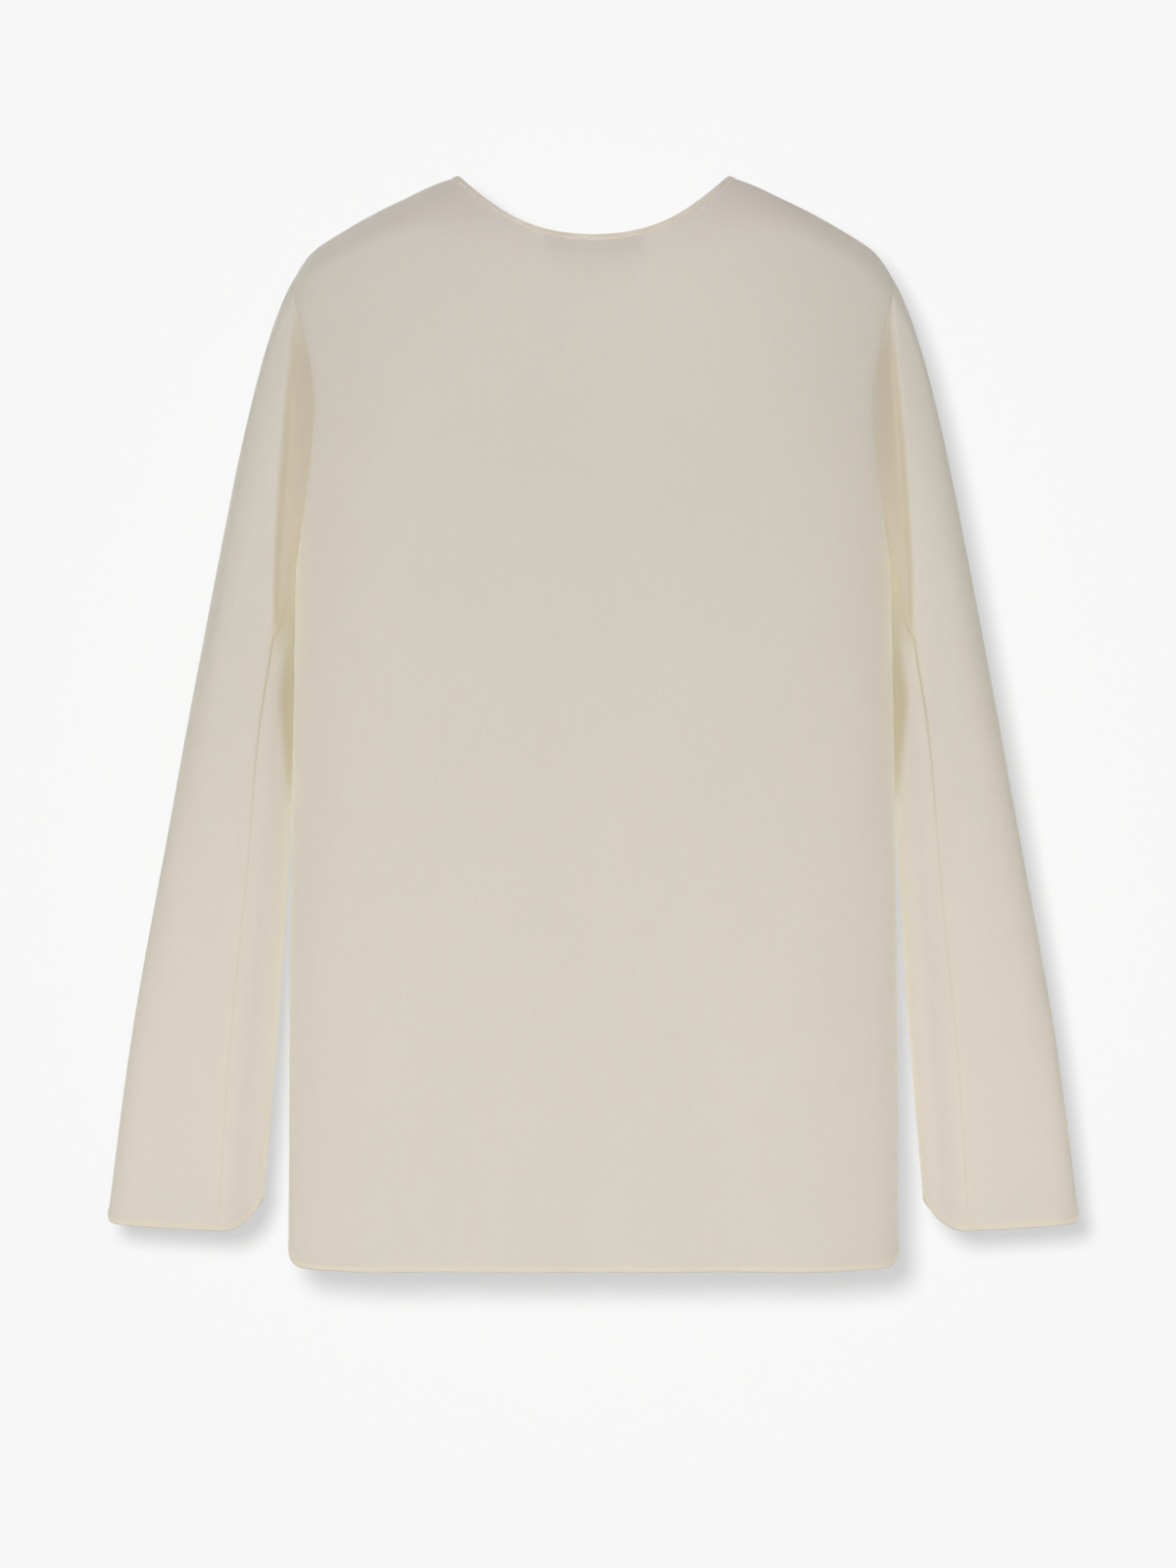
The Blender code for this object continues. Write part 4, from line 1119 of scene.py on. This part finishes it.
loopAt, loopMiddle, loopClimb, loopLift, loopLength, tipAt = neckLoop()
angles = np.radians(np.linspace(binding["lipDegrees"], -binding["lipDegrees"], binding["sectionPoints"]))
strip = loopMiddle[:, None] + roundLoop(*bindingSection(loopAt[:, None], angles[None, :]))
stripNormals = roundLoop(np.cos(angles)[None], np.sin(angles)[None])
stripU = np.concatenate([loopAt, [loopLength]])[None, :] + 0 * angles[:, None]
stripV = (angles[::-1] * 0.0016)[:, None] + 0 * stripU
neckBinding = clothPiece("neckBinding", np.swapaxes(strip, 0, 1), np.swapaxes(stripNormals, 0, 1), stripU,
                         stripV, silkBinding, binding["thickness"], closed=True)
print("scene: binding made")

# Label

# The label follows the back's inner face at the top and hangs a little free below, with its lower
# corners curled: the gap grows with the square of the share down
def labelGrid():
    place = np.linspace(-label["halfWidth"], label["halfWidth"], label["columns"] + 1)
    rows = np.linspace(*label["stations"], label["rows"] + 1)[:, None]
    station = rows + 0 * place
    grid = bodyPoint(backPanel, station, place / edgePoint(backPanel, station)[0])
    normals = outwardNormals(grid, belowCentre(grid))
    down = np.linspace(0, 1, label["rows"] + 1)[:, None]
    corner = np.abs(place / label["halfWidth"])[None, :] ** 4
    wave = 0.0002 * np.sin(place / 0.0071 + 0.6)[None, :] * down
    gap = label["offset"] + label["hang"] * down**2 + label["curl"] * corner * down**3 + wave
    return grid - normals * gap[..., None], normals, place, down


labelShape, labelNormals, labelPlace, labelDown = labelGrid()
labelU, labelV = labelPlace[None, :] + 0 * labelDown, -labelDown * label["flat"][1] + 0 * labelPlace
neckLabel = clothPiece("neckLabel", labelShape, -labelNormals, labelU, labelV, labelTape, label["thickness"])
print("scene: label made")

# Stitches

stitch = {"pitch": 0.0023, "length": 0.0018, "radius": 0.00013, "proud": 0.00003}

# hem stitches run just above the roll. The panels' rows start with those of the turned up cloth, and the
# sleeves' end with them
hemRow = 3 + 7
hems = {
    "backStitches": (backShape, backNormals, hemRow),
    "frontStitches": (frontShape, frontNormals, hemRow),
    "leftStitches": (leftShape, leftNormals, -1 - hemRow),
    "rightStitches": (rightShape, rightNormals, -1 - hemRow),
}
backStitches, frontStitches, leftStitches, rightStitches = (
    stitchPiece(name, [(shape[row, 3:-3], normals[row, 3:-3])], silkThread, stitch)
    for name, (shape, normals, row) in hems.items()
)

# the binding's run outside it, low on the strip, in one line behind and one in front
stitchAngle = np.radians(126)
lineUp, lineOut = bindingSection(loopAt, stitchAngle + 0 * loopAt)
neckLine = loopMiddle + loopClimb * lineUp[:, None] + loopLift * lineOut[:, None]
neckLifts = unitVectors(loopClimb * math.cos(stitchAngle) + loopLift * math.sin(stitchAngle))
neckRuns = (neckLine[:, 1] > 0, neckLine[:, 1] <= 0)
bindingStitches = stitchPiece("bindingStitches", [(neckLine[run], neckLifts[run]) for run in neckRuns],
                              silkThread, stitch)
labelTop = labelShape[1] - labelNormals[1] * label["thickness"] * 0.1
labelStitches = stitchPiece("labelStitches", [(labelTop[1:-1], -labelNormals[1, 1:-1])], silkThread, stitch)
print("scene: stitches made")

# What stands for what

dressed = {
    "back_panel": (blouseBack, [backStitches], "silk"),
    "front_panel": (blouseFront, [frontStitches], "silk"),
    "left_sleeve": (sleeveLeft, [leftStitches], "silk"),
    "right_sleeve": (sleeveRight, [rightStitches], "silk"),
    "neck_binding": (neckBinding, [bindingStitches], "silk_binding"),
    "neck_label": (neckLabel, [labelStitches], "label_tape"),
}
allPieces = []
for cadNode, (piece, trims, slotName) in dressed.items():
    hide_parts(cadNode)
    for each in [piece, *trims]:
        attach(each, "root")
        allPieces.append(each)
print("scene: pieces declared")

# Stage

stage = {
    "wallY": -0.220, "floorZ": -1.060, "halfWidth": 3.2, "top": 2.4, "reach": 3.8,
    "tone": 0.9216, "wallAlbedo": 0.10, "floorAlbedo": 0.0,
    # the lamp that throws the blouse's shadow on the wall, and how much of the wall's tone is its
    "shadowFrom": (0.1105, 2.6, -0.275), "shadowRadius": 0.0968, "shadowShare": 0.3316,
    # lamps for the cloth: colour, strength, spread in degrees, whether the cloth stops them, and where the
    # light of each comes from. Thin silk lets much of it by, so most of the fill isn't stopped
    "clothLamps": [
        ((1.459, 1.000, 1.518), 0.239, 60, False, {"softBehind": (0, 1, 0), "softInFront": (0, -1, 0)}),
        ((1.091, 1.000, 1.000), 0.066, 60, False, {"softLeft": (1, 0, 0), "softRight": (-1, 0, 0)}),
        ((0.690, 1.000, 0.699), 0.393, 60, False, {
            "softBackLeft": (1, 1, 0), "softBackRight": (-1, 1, 0),
            "softFrontLeft": (1, -1, 0), "softFrontRight": (-1, -1, 0),
        }),
        ((0.864, 1.000, 1.535), 0.218, 60, False, {"softAbove": (0, 0, 1)}),
        ((1.000, 1.000, 1.250), 0.480, 179, True, {"wideBehind": (0, 1, 0), "wideInFront": (0, -1, 0)}),
        ((1.000, 1.000, 1.000), 0.720, 40, True, {
            "keyBehind": (0.25, 1, 0.25), "keyInFront": (0.25, -1, 0.25),
        }),
    ],
    "bindingLamp": ((1.0, 0.96, 0.88), 0.32), "bindingSpread": 90,    # lights the neck binding alone
    # near lamps that the cloth doesn't stop: they lighten the hem and let the shoulders fall off. Colour,
    # watts, radius, and the place of each
    "nearLamps": [
        ((1.037, 1.000, 0.922), 25.925, 0.50, {"lowBehind": (0, 1.7, -1.5), "lowInFront": (0, -1.7, -1.5)}),
        ((1.208, 1.000, 1.026), 11.002, 0.30, {"lowLeft": (1.1, 0, -1.35), "lowRight": (-1.1, 0, -1.35)}),
    ],
}


# A plain board as a grid of points: the corner, and shares of the way along and of the way up. It shows
# to the camera from its front only
def board(name, corner, along, up, columns, rows, albedo, glowAt):
    a, b = np.meshgrid(np.linspace(0, 1, columns + 1), np.linspace(0, 1, rows + 1))
    points = (np.array(corner) + a[..., None] * np.array(along) + b[..., None] * np.array(up)).reshape(-1, 3)
    mesh = bpy.data.meshes.new(name)
    mesh.from_pydata(points.tolist(), [], gridQuads(np.arange(a.size).reshape(a.shape)).tolist())
    level = glowAt(points)
    glow = np.stack([level, level, level, 0 * level + 1], axis=1)
    glowing = mesh.attributes.new("glow", "FLOAT_COLOR", "POINT")
    glowing.data.foreach_set("color", glow.astype(np.float32).ravel())
    made = linkObject(name, mesh)

    material = bpy.data.materials.new(name + "Paper")
    material.use_nodes = True
    tree = material.node_tree
    tree.nodes.remove(tree.nodes["Principled BSDF"])
    read = node(tree, "ShaderNodeAttribute", (-600, 0), attribute_name="glow")
    shine = node(tree, "ShaderNodeEmission", (-350, 0))
    tree.links.new(read.outputs["Color"], shine.inputs["Color"])
    matt = node(tree, "ShaderNodeBsdfDiffuse", (-350, -150))
    matt.inputs["Color"].default_value = (albedo, albedo, albedo, 1)
    paper = node(tree, "ShaderNodeAddShader", (-100, 0))
    tree.links.new(shine.outputs[0], paper.inputs[0])
    tree.links.new(matt.outputs[0], paper.inputs[1])
    path = node(tree, "ShaderNodeLightPath", (-600, 300))
    geometry = node(tree, "ShaderNodeNewGeometry", (-600, -300))
    front = maths(tree, "SUBTRACT", (-350, -350), 1.0, geometry.outputs["Backfacing"])
    seen = maths(tree, "MULTIPLY", (-100, 250), path.outputs["Is Camera Ray"], front)
    clear = node(tree, "ShaderNodeBsdfTransparent", (-100, -200))
    both = node(tree, "ShaderNodeMixShader", (150, 0))
    for slot, value in enumerate((seen, clear.outputs[0], paper.outputs[0])):
        tree.links.new(value, both.inputs[slot])
    tree.links.new(both.outputs[0], tree.nodes["Material Output"].inputs["Surface"])
    mesh.materials.append(material)
    return made


# What the shadow lamp leaves of the wall's even tone: its own part falls off as the cosine cubed
def wallGlow(points):
    away = points - np.array(stage["shadowFrom"])
    return stage["tone"] - stage["shadowShare"] * (shadowReach / np.linalg.norm(away, axis=1)) ** 3


# The floor's even tone
def floorGlow(points):
    return np.full(len(points), stage["tone"])


wide, deep, tall = stage["halfWidth"], stage["reach"] - stage["wallY"], stage["top"] - stage["floorZ"]
shadowReach = stage["shadowFrom"][1] - stage["wallY"]
wall = board("wall", (wide, stage["wallY"], stage["floorZ"]), (-2 * wide, 0, 0), (0, 0, tall), 96, 54,
             stage["wallAlbedo"], wallGlow)
board("floor", (-wide, stage["wallY"], stage["floorZ"]), (2 * wide, 0, 0), (0, deep, 0), 4, 4,
      stage["floorAlbedo"], floorGlow)


# Adds a lamp that lights only the given pieces
def addLamp(name, kind, place, colour, strength, receivers, stopped=True):
    lamp = bpy.data.lights.new(name, kind)
    lamp.color, lamp.energy, lamp.use_shadow = colour, strength, stopped
    made = linkObject(name, lamp)
    made.location = place
    group = bpy.data.collections.new(name + "Lights")
    for each in receivers:
        group.objects.link(each)
    made.light_linking.receiver_collection = group
    return made


shadowWatts = 4 * math.pi * shadowReach**2 * stage["shadowShare"] * math.pi / stage["wallAlbedo"]
shadowLamp = addLamp("shadowLamp", "POINT", stage["shadowFrom"], (1, 1, 1), shadowWatts, [wall])
shadowLamp.data.shadow_soft_size = stage["shadowRadius"]
bindingLamp = addLamp("bindingLamp", "SUN", (0, 0, 0), *stage["bindingLamp"], [neckBinding], False)
bindingLamp.data.angle = math.radians(stage["bindingSpread"])
bindingLamp.data.cycles.use_multiple_importance_sampling = False
for colour, strength, spread, stopped, lamps in stage["clothLamps"]:
    for name, comesFrom in lamps.items():
        lamp = addLamp(name, "SUN", (0, 0, 0), colour, strength, allPieces, stopped)
        lamp.data.cycles.use_multiple_importance_sampling = False
        lamp.data.angle = math.radians(spread)
        lamp.rotation_euler = Vector(comesFrom).to_track_quat("Z", "Y").to_euler()
for colour, watts, radius, lamps in stage["nearLamps"]:
    for name, place in lamps.items():
        lamp = addLamp(name, "POINT", place, colour, watts, allPieces, False)
        lamp.data.cycles.use_multiple_importance_sampling = False
        lamp.data.shadow_soft_size = radius

sky = bpy.data.worlds.new("sky")
bpy.context.scene.world = sky
sky.use_nodes = True
tree = sky.node_tree
tree.nodes["Background"].inputs["Color"].default_value = (stage["tone"],) * 3 + (1,)
path = node(tree, "ShaderNodeLightPath", (-300, 200))
tree.links.new(path.outputs["Is Camera Ray"], tree.nodes["Background"].inputs["Strength"])
bpy.context.scene.view_settings.view_transform = "Standard"

view = {"place": (0.0035, 2.6, -0.397), "halfHeight": 0.512}
lens = bpy.data.cameras.new("camera")
lens.sensor_width = 36
lens.lens = 18 / (view["halfHeight"] / view["place"][1])
camera = linkObject("camera", lens)
camera.location = view["place"]
camera.rotation_euler = (math.pi / 2, 0, math.pi)
bpy.context.scene.camera = camera
print("scene: stage, lights and camera made")

bpy.context.view_layer.update()
